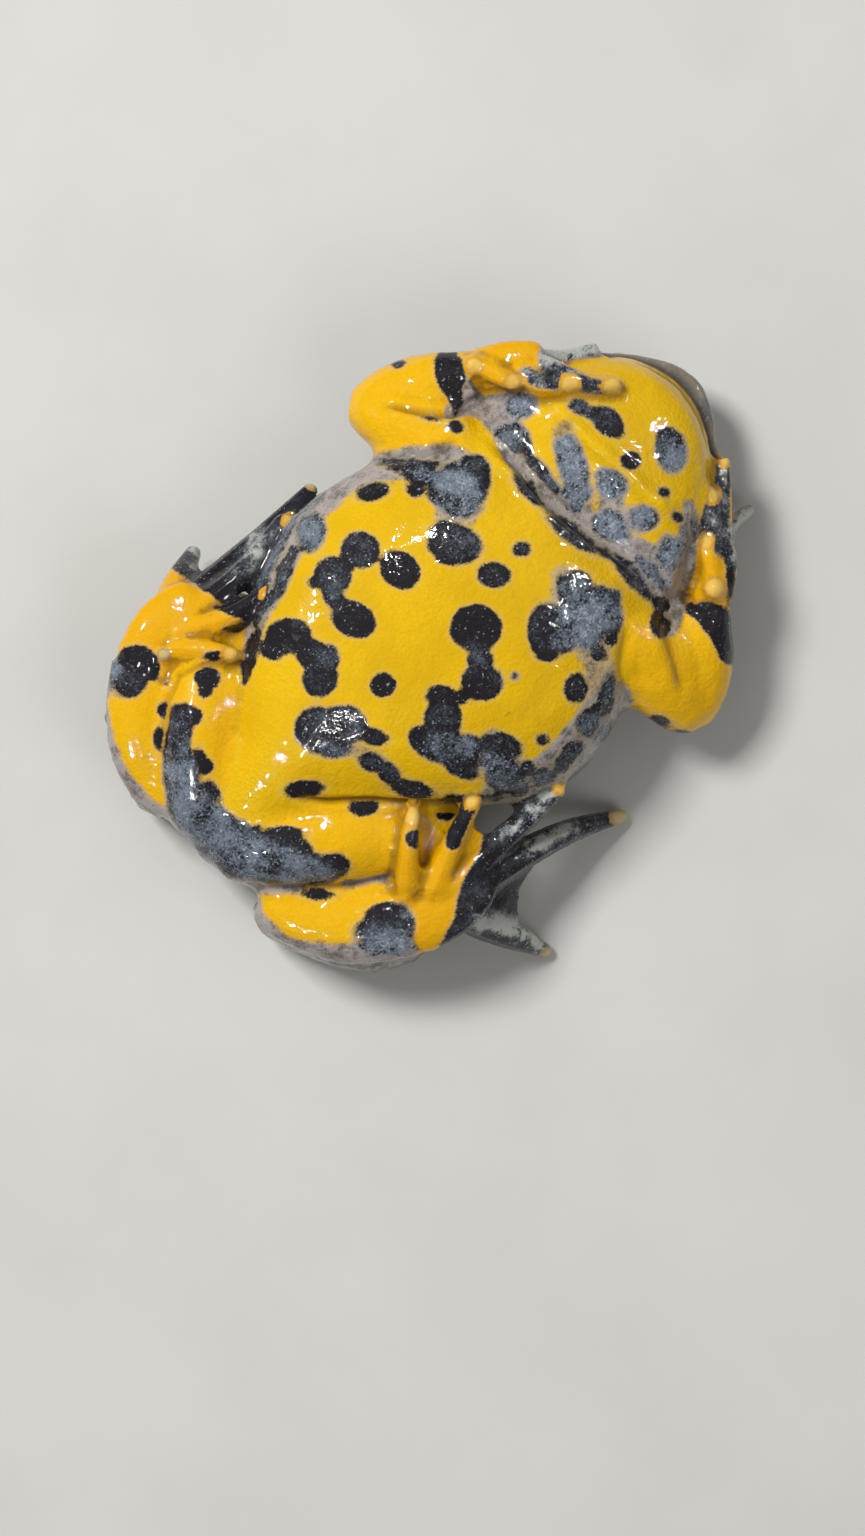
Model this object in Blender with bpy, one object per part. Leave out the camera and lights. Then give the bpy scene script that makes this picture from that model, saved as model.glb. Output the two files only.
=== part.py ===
"""Yellow-bellied toad lying on its back, life size, as a museum model.

Metres, +Z up. +X runs from the vent to the snout, +Y is the animal's own right side.
The belly faces up, and the back, the eyelids and the lower limbs rest on z = 0.
All sizes below are millimetres and are turned into metres when a mesh is made.
"""
import math

import bmesh
import bpy
from mathutils import Vector

MM = 0.001
GAP = 0.3            # clearance that touching pieces keep
GROWTH = 0.36        # how far a neighbour is swollen before it cuts, so that the gap holds
FLOOR = 0.0

# Resolution of the lofts
TRUNK_SIDES = 28
LIMB_SIDES = 14
DIGIT_SIDES = 8
TRUNK_STEPS = 3      # rings between two stations of the trunk, head and jaw
LIMB_STEPS = 3
DIGIT_STEPS = 3
CAP_ANGLES = (0.6, 1.15)
CAP_REACH = 0.9

# Trunk stations: x, middle y, half width, z of the back, z of the widest level, z of the belly
TRUNK = [
    (-21.2, -0.5, 0.0, 5.2, 5.2, 5.2),
    (-20.2, -0.4, 2.2, 2.9, 5.2, 7.4),
    (-17.0, -0.1, 3.1, 1.4, 5.4, 9.3),
    (-13.4, 0.4, 4.2, 0.5, 5.5, 10.6),
    (-10.0, 0.8, 7.2, 0.0, 5.6, 11.5),
    (-5.5, 0.3, 10.5, -0.3, 5.9, 12.4),
    (-0.5, -0.4, 12.7, -0.4, 6.1, 12.9),
    (4.0, -0.7, 12.3, -0.4, 6.2, 12.7),
    (8.0, -0.4, 10.9, -0.3, 6.2, 12.1),
    (11.0, 0.0, 10.1, -0.1, 6.0, 11.0),
    (14.0, 0.2, 9.4, 0.2, 5.8, 9.2),
    (17.0, 0.3, 0.0, 5.6, 5.6, 5.6),
]
NECK_X = 12.2        # the throat fold, where head and jaw meet the trunk
TRUNK_FULLNESS = 0.88

# Rump under the thighs: centre and radii
RUMP_CENTRE = (-13.2, 0.0, 3.6)
RUMP_RADII = (7.4, 6.2, 3.7)

# Upper head, out to the lip, in the same form as the trunk
HEAD = [
    (9.0, 0.0, 0.0, 5.2, 5.2, 5.2),
    (11.0, 0.1, 9.9, 0.1, 5.6, 8.6),
    (14.0, 0.4, 9.7, 0.4, 5.5, 8.6),
    (16.6, 0.6, 8.9, 0.8, 5.3, 8.2),
    (18.8, 0.75, 7.9, 1.1, 5.1, 7.8),
    (21.2, 0.9, 6.0, 1.5, 4.9, 7.4),
    (23.2, 1.0, 3.9, 2.1, 4.7, 6.9),
    (24.5, 1.0, 2.0, 2.9, 4.5, 6.1),
    (25.1, 0.9, 0.0, 4.3, 4.3, 4.3),
]
HEAD_FULLNESS = 0.92

# Lower jaw and throat
JAW = [
    (9.5, 0.1, 0.0, 6.6, 6.6, 6.6),
    (11.3, 0.1, 9.6, 4.0, 6.6, 9.6),
    (13.6, 0.3, 9.3, 4.0, 6.6, 9.8),
    (15.6, 0.4, 8.6, 4.0, 6.5, 10.3),
    (17.2, 0.6, 7.9, 4.0, 6.4, 10.5),
    (19.4, 0.8, 6.7, 4.0, 6.2, 9.8),
    (21.3, 1.0, 5.1, 4.0, 6.0, 9.1),
    (22.7, 1.1, 3.3, 4.0, 5.9, 8.3),
    (23.6, 1.1, 0.0, 6.0, 6.0, 6.0),
]

# Side view of the mouth line, from behind the jaw's corner to past the snout
MOUTH_LINE = [(8.0, 6.5), (15.5, 6.3), (20.0, 5.9), (26.5, 5.3)]

# Eyes: place of the right eye's centre from the head's middle line, ball, socket and lid radii
EYE_X = 18.9
EYE_MIDDLE_Y = 0.75
EYE_OUT = 4.7
EYE_Z = 3.05
EYE_RADIUS = 2.25
LID_RADIUS = 3.12
EYE_OPENING = (2.0, 1.65)            # half length and half height of the gap between the lids
EYE_GAZE = (0.28, 0.86, -0.42)       # of the right eye; the left one's is mirrored
NOSTRIL_X, NOSTRIL_OUT, NOSTRIL_Z = 24.2, 1.15, 3.15
NOSTRIL_RADIUS = 0.34

# Limb stations: x, y, z, half width, half height
LIMBS = {
    "upper_arm_right": [
        (10.3, 4.6, 7.8, 2.7, 2.7), (9.8, 8.2, 7.5, 2.8, 2.6),
        (8.5, 11.3, 6.8, 2.7, 2.4), (7.6, 13.8, 5.7, 2.2, 2.2),
    ],
    "forearm_right": [
        (7.8, 14.1, 5.5, 2.0, 2.1), (9.7, 13.4, 6.1, 2.3, 2.1),
        (11.6, 12.3, 6.9, 2.3, 2.0), (13.8, 11.1, 7.8, 1.7, 1.4), (15.4, 10.5, 8.3, 1.4, 1.2),
    ],
    "upper_arm_left": [
        (10.0, -5.4, 7.7, 2.6, 2.7), (10.0, -8.8, 7.3, 2.7, 2.6),
        (9.7, -12.0, 6.1, 2.7, 2.5), (9.9, -14.6, 4.7, 2.3, 2.2),
    ],
    "forearm_left": [
        (10.2, -14.8, 4.3, 2.1, 2.1), (11.8, -13.6, 4.9, 2.4, 2.2),
        (13.5, -12.0, 5.8, 2.3, 2.0), (15.1, -10.9, 6.4, 1.6, 1.5), (16.5, -10.1, 6.8, 1.3, 1.2),
    ],
    "thigh_right": [
        (-18.6, 1.9, 6.0, 2.6, 3.2), (-15.9, 4.9, 6.5, 2.9, 3.5),
        (-13.3, 7.3, 6.4, 2.8, 3.3), (-11.0, 9.5, 5.4, 2.6, 2.9), (-9.4, 11.0, 4.4, 2.3, 2.4),
    ],
    "thigh_left": [
        (-18.3, -2.0, 6.0, 2.8, 3.2), (-15.2, -4.3, 6.5, 3.2, 3.5),
        (-12.2, -6.7, 6.4, 3.1, 3.4), (-9.7, -9.1, 5.4, 2.8, 2.9), (-8.0, -11.0, 4.4, 2.4, 2.4),
    ],
    "shank_right": [
        (-9.2, 11.6, 3.5, 2.2, 2.3), (-12.4, 11.5, 2.8, 2.7, 2.7),
        (-16.6, 9.6, 2.7, 3.1, 2.8), (-20.0, 4.9, 2.9, 2.2, 2.5),
    ],
    "shank_left": [
        (-8.6, -12.0, 3.5, 2.2, 2.3), (-12.0, -12.8, 2.8, 2.7, 2.7),
        (-16.0, -11.7, 2.7, 3.1, 2.8), (-19.5, -6.9, 2.9, 2.3, 2.5),
    ],
    "tarsus_right": [
        (-20.0, 4.5, 5.5, 2.1, 1.8), (-18.8, 7.8, 6.2, 2.4, 1.9),
        (-15.6, 11.1, 6.8, 2.4, 1.7), (-13.4, 12.1, 7.2, 2.3, 1.5),
    ],
    "tarsus_left": [
        (-19.4, -6.7, 5.5, 2.1, 1.8), (-17.1, -10.3, 6.2, 2.6, 1.9),
        (-13.7, -12.7, 6.8, 2.7, 1.7), (-11.6, -13.5, 7.2, 2.5, 1.5),
    ],
}

# Palms and soles, in the same form
PALMS = {
    "hand_right": [(14.0, 11.3, 7.8, 1.4, 1.1), (15.9, 10.2, 8.4, 1.5, 1.0), (17.4, 9.2, 8.6, 1.3, 0.9)],
    "hand_left": [(15.3, -10.9, 6.4, 1.35, 1.1), (16.9, -9.8, 6.8, 1.3, 1.0), (18.2, -8.8, 6.7, 1.1, 0.9)],
    "foot_right": [
        (-15.0, 11.4, 6.9, 2.3, 1.4), (-12.6, 12.1, 7.3, 2.4, 1.2), (-10.4, 12.2, 7.3, 2.1, 1.0),
    ],
    "foot_left": [
        (-13.2, -13.0, 6.9, 2.6, 1.4), (-11.0, -13.5, 7.3, 2.6, 1.2), (-8.8, -13.5, 7.2, 2.4, 1.0),
    ],
}

# Digits, counted from the body's inner side: x, y, z and radius along each one's centre line
DIGITS = {
    "hand_right": [
        [(14.8, 10.6, 9.0, 0.85), (15.0, 9.7, 9.5, 0.65), (15.3, 8.9, 9.55, 0.55)],
        [(16.3, 9.2, 9.0, 0.85), (16.6, 7.4, 9.85, 0.65), (18.1, 6.3, 9.85, 0.55)],
        [(17.5, 8.6, 8.9, 0.85), (18.8, 5.8, 9.85, 0.65), (20.2, 4.3, 9.8, 0.52)],
        [(17.5, 9.2, 8.3, 0.75), (19.2, 7.9, 7.1, 0.58), (21.0, 7.1, 6.6, 0.48)],
    ],
    "hand_left": [
        [(16.8, -9.5, 7.3, 0.8), (17.5, -8.3, 7.7, 0.62), (18.0, -7.4, 7.3, 0.52)],
        [(17.5, -9.0, 7.1, 0.8), (18.8, -7.1, 7.1, 0.62), (20.3, -5.4, 6.9, 0.52)],
        [(17.9, -9.1, 6.7, 0.8), (20.3, -6.7, 6.2, 0.62), (22.5, -4.3, 5.6, 0.5)],
        [(18.0, -9.2, 6.2, 0.75), (20.0, -7.8, 3.9, 0.58), (22.0, -7.8, 1.3, 0.48)],
    ],
    "foot_right": [
        [(-12.9, 10.8, 8.0, 0.85), (-11.3, 9.2, 9.2, 0.65), (-10.4, 8.0, 9.3, 0.55)],
        [(-12.0, 11.4, 7.8, 1.0), (-9.0, 10.0, 8.3, 0.8), (-5.9, 9.5, 8.9, 0.58)],
        [(-11.6, 12.0, 7.5, 1.15), (-6.8, 11.6, 6.9, 0.9), (-2.0, 12.4, 7.0, 0.58)],
        [(-11.6, 12.6, 7.2, 1.2), (-5.4, 12.6, 4.6, 0.95), (0.8, 12.9, 3.4, 0.58)],
        [(-12.0, 13.0, 7.0, 1.2), (-9.8, 14.2, 5.2, 1.0), (-7.9, 15.1, 2.6, 0.62)],
    ],
    "foot_left": [
        [(-11.9, -11.0, 8.4, 0.85), (-10.1, -9.2, 9.6, 0.64), (-8.6, -7.9, 9.3, 0.54)],
        [(-10.8, -12.4, 8.0, 1.0), (-7.6, -10.9, 8.7, 0.74), (-5.1, -10.0, 9.3, 0.57)],
        [(-10.0, -13.2, 7.5, 1.15), (-5.2, -13.1, 7.2, 0.95), (-0.4, -13.1, 7.9, 0.6)],
        [
            (-10.0, -13.9, 7.2, 1.3), (-5.3, -14.7, 5.6, 1.12),
            (-1.5, -15.8, 3.2, 0.88), (1.7, -17.4, 0.8, 0.55),
        ],
        [(-10.8, -14.4, 6.8, 1.35), (-9.4, -17.8, 3.5, 1.15), (-8.2, -20.7, 0.75, 0.55)],
    ],
}

# Webs: pair of toes, share of each toe that the web covers, share at its middle
WEBS = [(0, 1, 0.45, 0.3, 0.2), (1, 2, 0.75, 0.55, 0.55), (2, 3, 0.6, 0.55, 0.45), (3, 4, 0.6, 0.7, 0.45)]
WEB_THICKNESS = 0.6
WEB_STEPS = 5

# Pale cushions on palms and soles: centre and radius
TUBERCLES = {
    "hand_right": ((14.3, 11.5, 8.9), 0.85),
    "hand_left": ((16.2, -10.1, 7.6), 0.85),
    "foot_right": ((-13.8, 11.1, 8.2), 0.55),
    "foot_left": ((-12.6, -11.6, 8.2), 0.5),
}

# Skin and eye colours: red, green, blue, roughness
FINISHES = {
    "belly_skin": (0.85, 0.50, 0.01, 0.35),
    "back_skin": (0.16, 0.14, 0.11, 0.45),
    "eye": (0.45, 0.30, 0.08, 0.08),
}


def clear_scene():
    for thing in list(bpy.data.objects):
        bpy.data.objects.remove(thing)


def new_object(name, bm, collection):
    """Turns a bmesh in millimetres into an object in metres."""
    bmesh.ops.recalc_face_normals(bm, faces=bm.faces)
    mesh = bpy.data.meshes.new(name)
    bm.to_mesh(mesh)
    bm.free()
    thing = bpy.data.objects.new(name, mesh)
    collection.objects.link(thing)
    return thing


def between(a, b, c, d, t):
    """Catmull-Rom value between stations b and c."""
    return tuple(
        0.5 * (2 * q + (r - p) * t + (2 * p - 5 * q + 4 * r - s) * t * t + (3 * q - p - 3 * r + s) * t ** 3)
        for p, q, r, s in zip(a, b, c, d)
    )


def smooth_run(stations, steps, before, after):
    """Stations with steps - 1 more between each two; before and after are the phantom ends."""
    points = [before] + list(stations) + [after]
    run = []
    for i in range(1, len(points) - 2):
        for k in range(steps):
            run.append(between(points[i - 1], points[i], points[i + 1], points[i + 2], k / steps))
    run.append(points[-2])
    return run


def power(value, exponent):
    return math.copysign(abs(value) ** exponent, value)


def loft(rings, first_pole, last_pole):
    """Closed mesh through rings of equal length, ending in a pole at each end."""
    bm = bmesh.new()
    loops = [[bm.verts.new(p) for p in ring] for ring in rings]
    poles = [bm.verts.new(first_pole), bm.verts.new(last_pole)]
    count = len(loops[0])
    for here, there in zip(loops, loops[1:]):
        for i in range(count):
            j = (i + 1) % count
            bm.faces.new((here[i], here[j], there[j], there[i]))
    for pole, loop in zip(poles, (loops[0], loops[-1])):
        for i in range(count):
            bm.faces.new((pole, loop[i], loop[(i + 1) % count]))
    return bm


def trunk_form(stations, fullness):
    """Body of superelliptic rings across X, wide at its own level and with its own back and belly."""
    def mirrored(pole, next_one):
        x, y, half_width, back, level, belly = next_one
        return x, y, -half_width, 2 * pole[4] - back, level, 2 * pole[4] - belly

    run = smooth_run(
        stations, TRUNK_STEPS,
        mirrored(stations[0], stations[1]), mirrored(stations[-1], stations[-2]),
    )
    rings = []
    for x, y, half_width, back, level, belly in run[1:-1]:
        ring = []
        for i in range(TRUNK_SIDES):
            angle = 2 * math.pi * i / TRUNK_SIDES
            across = power(math.cos(angle), fullness)
            rise = power(math.sin(angle), fullness)
            height = belly - level if rise > 0 else level - back
            ring.append(Vector((x, y + half_width * across, level + height * rise)))
        rings.append(ring)
    ends = [Vector((s[0], s[1], s[4])) for s in (stations[0], stations[-1])]
    return loft(rings, ends[0], ends[1])


def limb_form(stations, sides, steps):
    """Round-ended body along a bent line, each ring with its own half width and half height."""
    def beyond(end, inner):
        return tuple(2 * a - b for a, b in zip(end, inner))

    run = smooth_run(
        stations, steps, beyond(stations[0], stations[1]), beyond(stations[-1], stations[-2]),
    )
    places = [Vector(station[:3]) for station in run]
    sizes = [station[3:] for station in run]
    first, last = (places[0] - places[1]).normalized(), (places[-1] - places[-2]).normalized()
    caps = []
    for end, away in ((0, first), (-1, last)):
        reach = sum(sizes[end]) / 2 * CAP_REACH
        cap = [
            (places[end] + away * reach * math.sin(angle), [size * math.cos(angle) for size in sizes[end]])
            for angle in CAP_ANGLES
        ]
        caps.append((cap, places[end] + away * reach))
    (first_cap, first_pole), (last_cap, last_pole) = caps
    line = [*reversed(first_cap), *zip(places, sizes), *last_cap]
    rings = []
    for i, (here, (half_width, half_height)) in enumerate(line):
        along = line[min(i + 1, len(line) - 1)][0] - line[max(i - 1, 0)][0]
        side = along.cross(Vector((0, 0, 1))).normalized()
        up = side.cross(along).normalized()
        rings.append([
            here
            + side * half_width * math.cos(2 * math.pi * k / sides)
            + up * half_height * math.sin(2 * math.pi * k / sides)
            for k in range(sides)
        ])
    return loft(rings, first_pole, last_pole)


def digit_form(places):
    stations = [(x, y, z, radius, radius) for x, y, z, radius in places]
    return limb_form(stations, DIGIT_SIDES, DIGIT_STEPS)


def web_form(toe_a, toe_b, reach_a, reach_b, reach_middle):
    """Thin membrane between two toes, drawn back between them."""
    def point(toe, share):
        line = [place[:3] for place in toe]
        run = smooth_run(line, WEB_STEPS, line[0], line[-1])
        position = share * (len(run) - 1)
        low = min(int(position), len(run) - 2)
        return Vector(run[low]).lerp(Vector(run[low + 1]), position - low)

    bm = bmesh.new()
    columns = []
    for step in range(5):
        lean = step / 4
        dip = 4 * lean * (1 - lean)
        reach = reach_a + (reach_b - reach_a) * lean + (reach_middle - (reach_a + reach_b) / 2) * dip
        column = [
            bm.verts.new(point(toe_a, reach * k / WEB_STEPS).lerp(point(toe_b, reach * k / WEB_STEPS), lean))
            for k in range(WEB_STEPS + 1)
        ]
        columns.append(column)
    for left, right in zip(columns, columns[1:]):
        for k in range(WEB_STEPS):
            bm.faces.new((left[k], right[k], right[k + 1]))
            bm.faces.new((left[k], right[k + 1], left[k + 1]))
    upper = bm.faces[:]
    bm.normal_update()
    offsets = {v: v.normal * WEB_THICKNESS / 2 for v in bm.verts}
    edge = [e for e in bm.edges if e.is_boundary]
    copy = bmesh.ops.duplicate(bm, geom=bm.verts[:] + bm.edges[:] + upper)
    twins = {v: copy["vert_map"][v] for v in offsets}
    for v, offset in offsets.items():
        v.co += offset
        twins[v].co -= offset
    for e in edge:
        a, b = e.verts
        bm.faces.new((a, twins[a], b))
        bm.faces.new((b, twins[a], twins[b]))
    return bm


def ball_form(centre, radius, segments=12, rings=8):
    bm = bmesh.new()
    bmesh.ops.create_uvsphere(bm, u_segments=segments, v_segments=rings, radius=radius)
    bmesh.ops.translate(bm, verts=bm.verts, vec=Vector(centre))
    return bm


def scaled_ball(centre, radii, direction, segments=14, rings=9):
    """Ellipsoid with its last radius along direction."""
    bm = bmesh.new()
    bmesh.ops.create_uvsphere(bm, u_segments=segments, v_segments=rings, radius=1.0)
    bmesh.ops.scale(bm, verts=bm.verts, vec=Vector(radii))
    turn = Vector(direction).to_track_quat("Z", "X").to_matrix()
    bmesh.ops.rotate(bm, verts=bm.verts, matrix=turn)
    bmesh.ops.translate(bm, verts=bm.verts, vec=Vector(centre))
    return bm


def grown(form, amount=GROWTH):
    """A swollen object of a form, to cut its neighbours with."""
    bmesh.ops.recalc_face_normals(form, faces=form.faces)
    form.normal_update()
    shifts = [v.normal * amount for v in form.verts]
    for v, shift in zip(form.verts, shifts):
        v.co += shift
    return new_object("cutter", form, cutters)


def boolean(thing, tool, operation):
    modifier = thing.modifiers.new("boolean", "BOOLEAN")
    modifier.operation = operation
    modifier.solver = "EXACT"
    modifier.object = tool
    bpy.context.view_layer.update()
    result = bpy.data.meshes.new_from_object(thing.evaluated_get(bpy.context.evaluated_depsgraph_get()))
    thing.modifiers.clear()
    thing.data = result


def cut_by(thing, tools):
    for tool in tools:
        boolean(thing, tool, "DIFFERENCE")


def clear_of(name, neighbours):
    """Cuts a node back from the swollen forms of its neighbours."""
    for neighbour in neighbours:
        cut_by(nodes[name], swollen[neighbour])


def fuse(name, forms, collection):
    """One closed object from several overlapping forms."""
    pieces = bpy.data.collections.new("pieces")
    bpy.context.scene.collection.children.link(pieces)
    whole = new_object(name, forms[0], collection)
    for form in forms[1:]:
        new_object("piece", form, pieces)
    modifier = whole.modifiers.new("join", "BOOLEAN")
    modifier.operation = "UNION"
    modifier.solver = "EXACT"
    modifier.operand_type = "COLLECTION"
    modifier.collection = pieces
    bpy.context.view_layer.update()
    result = bpy.data.meshes.new_from_object(whole.evaluated_get(bpy.context.evaluated_depsgraph_get()))
    whole.modifiers.clear()
    whole.data = result
    for piece in list(pieces.objects):
        bpy.data.objects.remove(piece)
    bpy.data.collections.remove(pieces)
    return whole


def keep_side(thing, point, normal):
    """Cuts an object by a plane and keeps what lies behind it, closed again."""
    bm = bmesh.new()
    bm.from_mesh(thing.data)
    bmesh.ops.bisect_plane(
        bm, geom=bm.verts[:] + bm.edges[:] + bm.faces[:], dist=1e-5,
        plane_co=Vector(point), plane_no=Vector(normal), clear_outer=True,
    )
    bmesh.ops.holes_fill(bm, edges=[e for e in bm.edges if e.is_boundary], sides=0)
    bmesh.ops.recalc_face_normals(bm, faces=bm.faces)
    bm.to_mesh(thing.data)
    bm.free()


def part_at(inner, outer, point, normal):
    """Parts two objects at a plane, with the gap between their faces."""
    point, normal = Vector(point), Vector(normal).normalized()
    keep_side(inner, point - normal * GAP / 2, normal)
    keep_side(outer, point + normal * GAP / 2, -normal)


def fold_seam(inner, outer, inner_stations, outer_stations):
    """Parts two folded limb pieces by the plane between them, through the joint they share."""
    joint = (Vector(inner_stations[-1][:3]) + Vector(outer_stations[0][:3])) / 2
    inner_middle = Vector(inner_stations[len(inner_stations) // 2][:3])
    outer_middle = Vector(outer_stations[len(outer_stations) // 2][:3])
    across = outer_middle - inner_middle
    along = ((inner_middle + outer_middle) / 2 - joint).normalized()
    part_at(inner, outer, joint, across - along * across.dot(along))


def tidy(thing):
    """Triangulated, merged, with only the largest closed surface kept, and in metres."""
    bm = bmesh.new()
    bm.from_mesh(thing.data)
    bmesh.ops.remove_doubles(bm, verts=bm.verts, dist=1e-3)
    bmesh.ops.dissolve_degenerate(bm, dist=1e-3, edges=bm.edges)
    bmesh.ops.triangulate(bm, faces=bm.faces)
    left = set(bm.faces)
    shells = []
    while left:
        shell, queue = set(), [left.pop()]
        while queue:
            face = queue.pop()
            shell.add(face)
            for edge in face.edges:
                for other in edge.link_faces:
                    if other in left:
                        left.remove(other)
                        queue.append(other)
        shells.append(shell)
    shells.sort(key=lambda shell: -sum(face.calc_area() for face in shell))
    for shell in shells[1:]:
        bmesh.ops.delete(bm, geom=list(shell), context="FACES")
    bmesh.ops.scale(bm, verts=bm.verts, vec=Vector((MM, MM, MM)))
    bm.to_mesh(thing.data)
    bm.free()
    thing.data.shade_smooth()


def finish_material(name):
    red, green, blue, roughness = FINISHES[name]
    material = bpy.data.materials.get(name) or bpy.data.materials.new(name)
    material.use_nodes = True
    shader = material.node_tree.nodes["Principled BSDF"]
    shader.inputs["Base Color"].default_value = (red, green, blue, 1)
    shader.inputs["Roughness"].default_value = roughness
    shader.inputs["Metallic"].default_value = 0
    return material


def mouth_block(offset):
    """Everything on the belly's side of the mouth line, moved up by offset."""
    bm = bmesh.new()
    wide, top = 20.0, 30.0
    outline = [(x, z + offset) for x, z in MOUTH_LINE]
    outline += [(MOUTH_LINE[-1][0], top), (MOUTH_LINE[0][0], top)]
    face = bm.faces.new([bm.verts.new((x, -wide, z)) for x, z in outline])
    side = bmesh.ops.extrude_face_region(bm, geom=[face])
    moved = [v for v in side["geom"] if isinstance(v, bmesh.types.BMVert)]
    bmesh.ops.translate(bm, verts=moved, vec=Vector((0, 2 * wide, 0)))
    return new_object("mouth_cutter", bm, cutters)


def torso_forms():
    rump = scaled_ball(RUMP_CENTRE, RUMP_RADII, (0, 0, 1), 20, 12)
    return [trunk_form(TRUNK, TRUNK_FULLNESS), rump]


def eye_centre(side):
    return Vector((EYE_X, EYE_MIDDLE_Y + side * EYE_OUT, EYE_Z))


def eye_gaze(side):
    return Vector((EYE_GAZE[0], side * EYE_GAZE[1], EYE_GAZE[2])).normalized()


def make_head():
    """Upper head with its lids, eye sockets and nostrils."""
    forms = [trunk_form(HEAD, HEAD_FULLNESS)]
    forms += [scaled_ball(eye_centre(side), (LID_RADIUS,) * 3, eye_gaze(side)) for side in (1, -1)]
    head = fuse("head", forms, parts)
    cut_by(head, [mouth_block(-GAP / 2)])
    for side in (1, -1):
        socket = scaled_ball(eye_centre(side), (EYE_RADIUS + GROWTH,) * 3, eye_gaze(side), 16, 11)
        opening = scaled_ball(
            eye_centre(side) + eye_gaze(side) * LID_RADIUS,
            (EYE_OPENING[1], EYE_OPENING[0], LID_RADIUS / 2), eye_gaze(side), 16, 9,
        )
        nostril = ball_form(
            (NOSTRIL_X, HEAD[-2][1] + side * NOSTRIL_OUT, NOSTRIL_Z), NOSTRIL_RADIUS, 8, 5,
        )
        tools = [new_object("head_cutter", form, cutters) for form in (socket, opening, nostril)]
        cut_by(head, tools)
    return head


def make_eye(side, name):
    return new_object(name, scaled_ball(eye_centre(side), (EYE_RADIUS,) * 3, eye_gaze(side)), parts)


def make_extremity(name):
    """A hand or foot: palm or sole, digits, cushion and, between toes, the web."""
    toes = DIGITS[name]
    forms = [limb_form(PALMS[name], LIMB_SIDES, LIMB_STEPS)]
    forms += [digit_form(places) for places in toes]
    if len(toes) == 5:
        forms += [web_form(toes[a], toes[b], *reach) for a, b, *reach in WEBS]
    centre, radius = TUBERCLES[name]
    forms.append(ball_form(centre, radius, 8, 6))
    return fuse(name, forms, parts)


clear_scene()
parts = bpy.data.collections.new("yellow_bellied_toad")
cutters = bpy.data.collections.new("cutters")
bpy.context.scene.collection.children.link(parts)
bpy.context.scene.collection.children.link(cutters)

# Trunk, head, jaw and eyes
nodes = {}
nodes["torso"] = fuse("torso", torso_forms(), parts)
nodes["head"] = make_head()
nodes["lower_jaw"] = new_object("lower_jaw", trunk_form(JAW, HEAD_FULLNESS), parts)
swollen = {
    "torso": [grown(form) for form in torso_forms()],
    "head": [grown(trunk_form(HEAD, HEAD_FULLNESS))],
    "lower_jaw": [grown(trunk_form(JAW, HEAD_FULLNESS))],
}
jaw_floor = mouth_block(GAP / 2)
boolean(nodes["lower_jaw"], jaw_floor, "INTERSECT")
for name in ("head", "lower_jaw"):
    keep_side(nodes[name], (NECK_X + GAP / 2, 0, 0), (-1, 0, 0))
keep_side(nodes["torso"], (NECK_X - GAP / 2, 0, 0), (1, 0, 0))
for side, name in ((1, "eye_right"), (-1, "eye_left")):
    nodes[name] = make_eye(side, name)

# Limbs, whole, with a swollen copy of each for the pieces that lie against it
for name, stations in LIMBS.items():
    nodes[name] = new_object(name, limb_form(stations, LIMB_SIDES, LIMB_STEPS), parts)
    swollen[name] = [grown(limb_form(stations, LIMB_SIDES, LIMB_STEPS))]
for name in PALMS:
    nodes[name] = make_extremity(name)

# Seams at the elbows, wrists, knees, heels and insteps, then what each piece lies against
for side in ("right", "left"):
    upper_arm, forearm, hand = (f"{part}_{side}" for part in ("upper_arm", "forearm", "hand"))
    thigh, shank, tarsus, foot = (f"{part}_{side}" for part in ("thigh", "shank", "tarsus", "foot"))
    fold_seam(nodes[upper_arm], nodes[forearm], LIMBS[upper_arm], LIMBS[forearm])
    fold_seam(nodes[thigh], nodes[shank], LIMBS[thigh], LIMBS[shank])
    fold_seam(nodes[shank], nodes[tarsus], LIMBS[shank], LIMBS[tarsus])
    for inner, outer in ((forearm, hand), (tarsus, foot)):
        joint = Vector(LIMBS[inner][-2][:3])
        part_at(nodes[inner], nodes[outer], joint, Vector(LIMBS[inner][-1][:3]) - joint)
    clear_of(upper_arm, ["torso"])
    clear_of(forearm, ["torso", "head", "lower_jaw"])
    clear_of(hand, ["head", "lower_jaw"])
    clear_of(thigh, ["torso"])
    clear_of(shank, ["torso"])
    clear_of(tarsus, [thigh])
    clear_of(foot, ["torso", thigh, shank])
part_at(nodes["thigh_left"], nodes["thigh_right"], (0, -0.5, 0), (0, 1, 0))

for name, node in nodes.items():
    keep_side(node, (0, 0, FLOOR), (0, 0, -1))
    tidy(node)
    slot = "eye" if name.startswith("eye") else "back_skin" if name == "head" else "belly_skin"
    node.data.materials.clear()
    node.data.materials.append(finish_material(slot))

for cutter in list(cutters.objects):
    bpy.data.objects.remove(cutter)
bpy.data.collections.remove(cutters)
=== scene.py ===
import math

import bmesh
import bpy
import numpy as np
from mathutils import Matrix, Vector, noise
from mathutils.bvhtree import BVHTree
from mathutils.kdtree import KDTree


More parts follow.
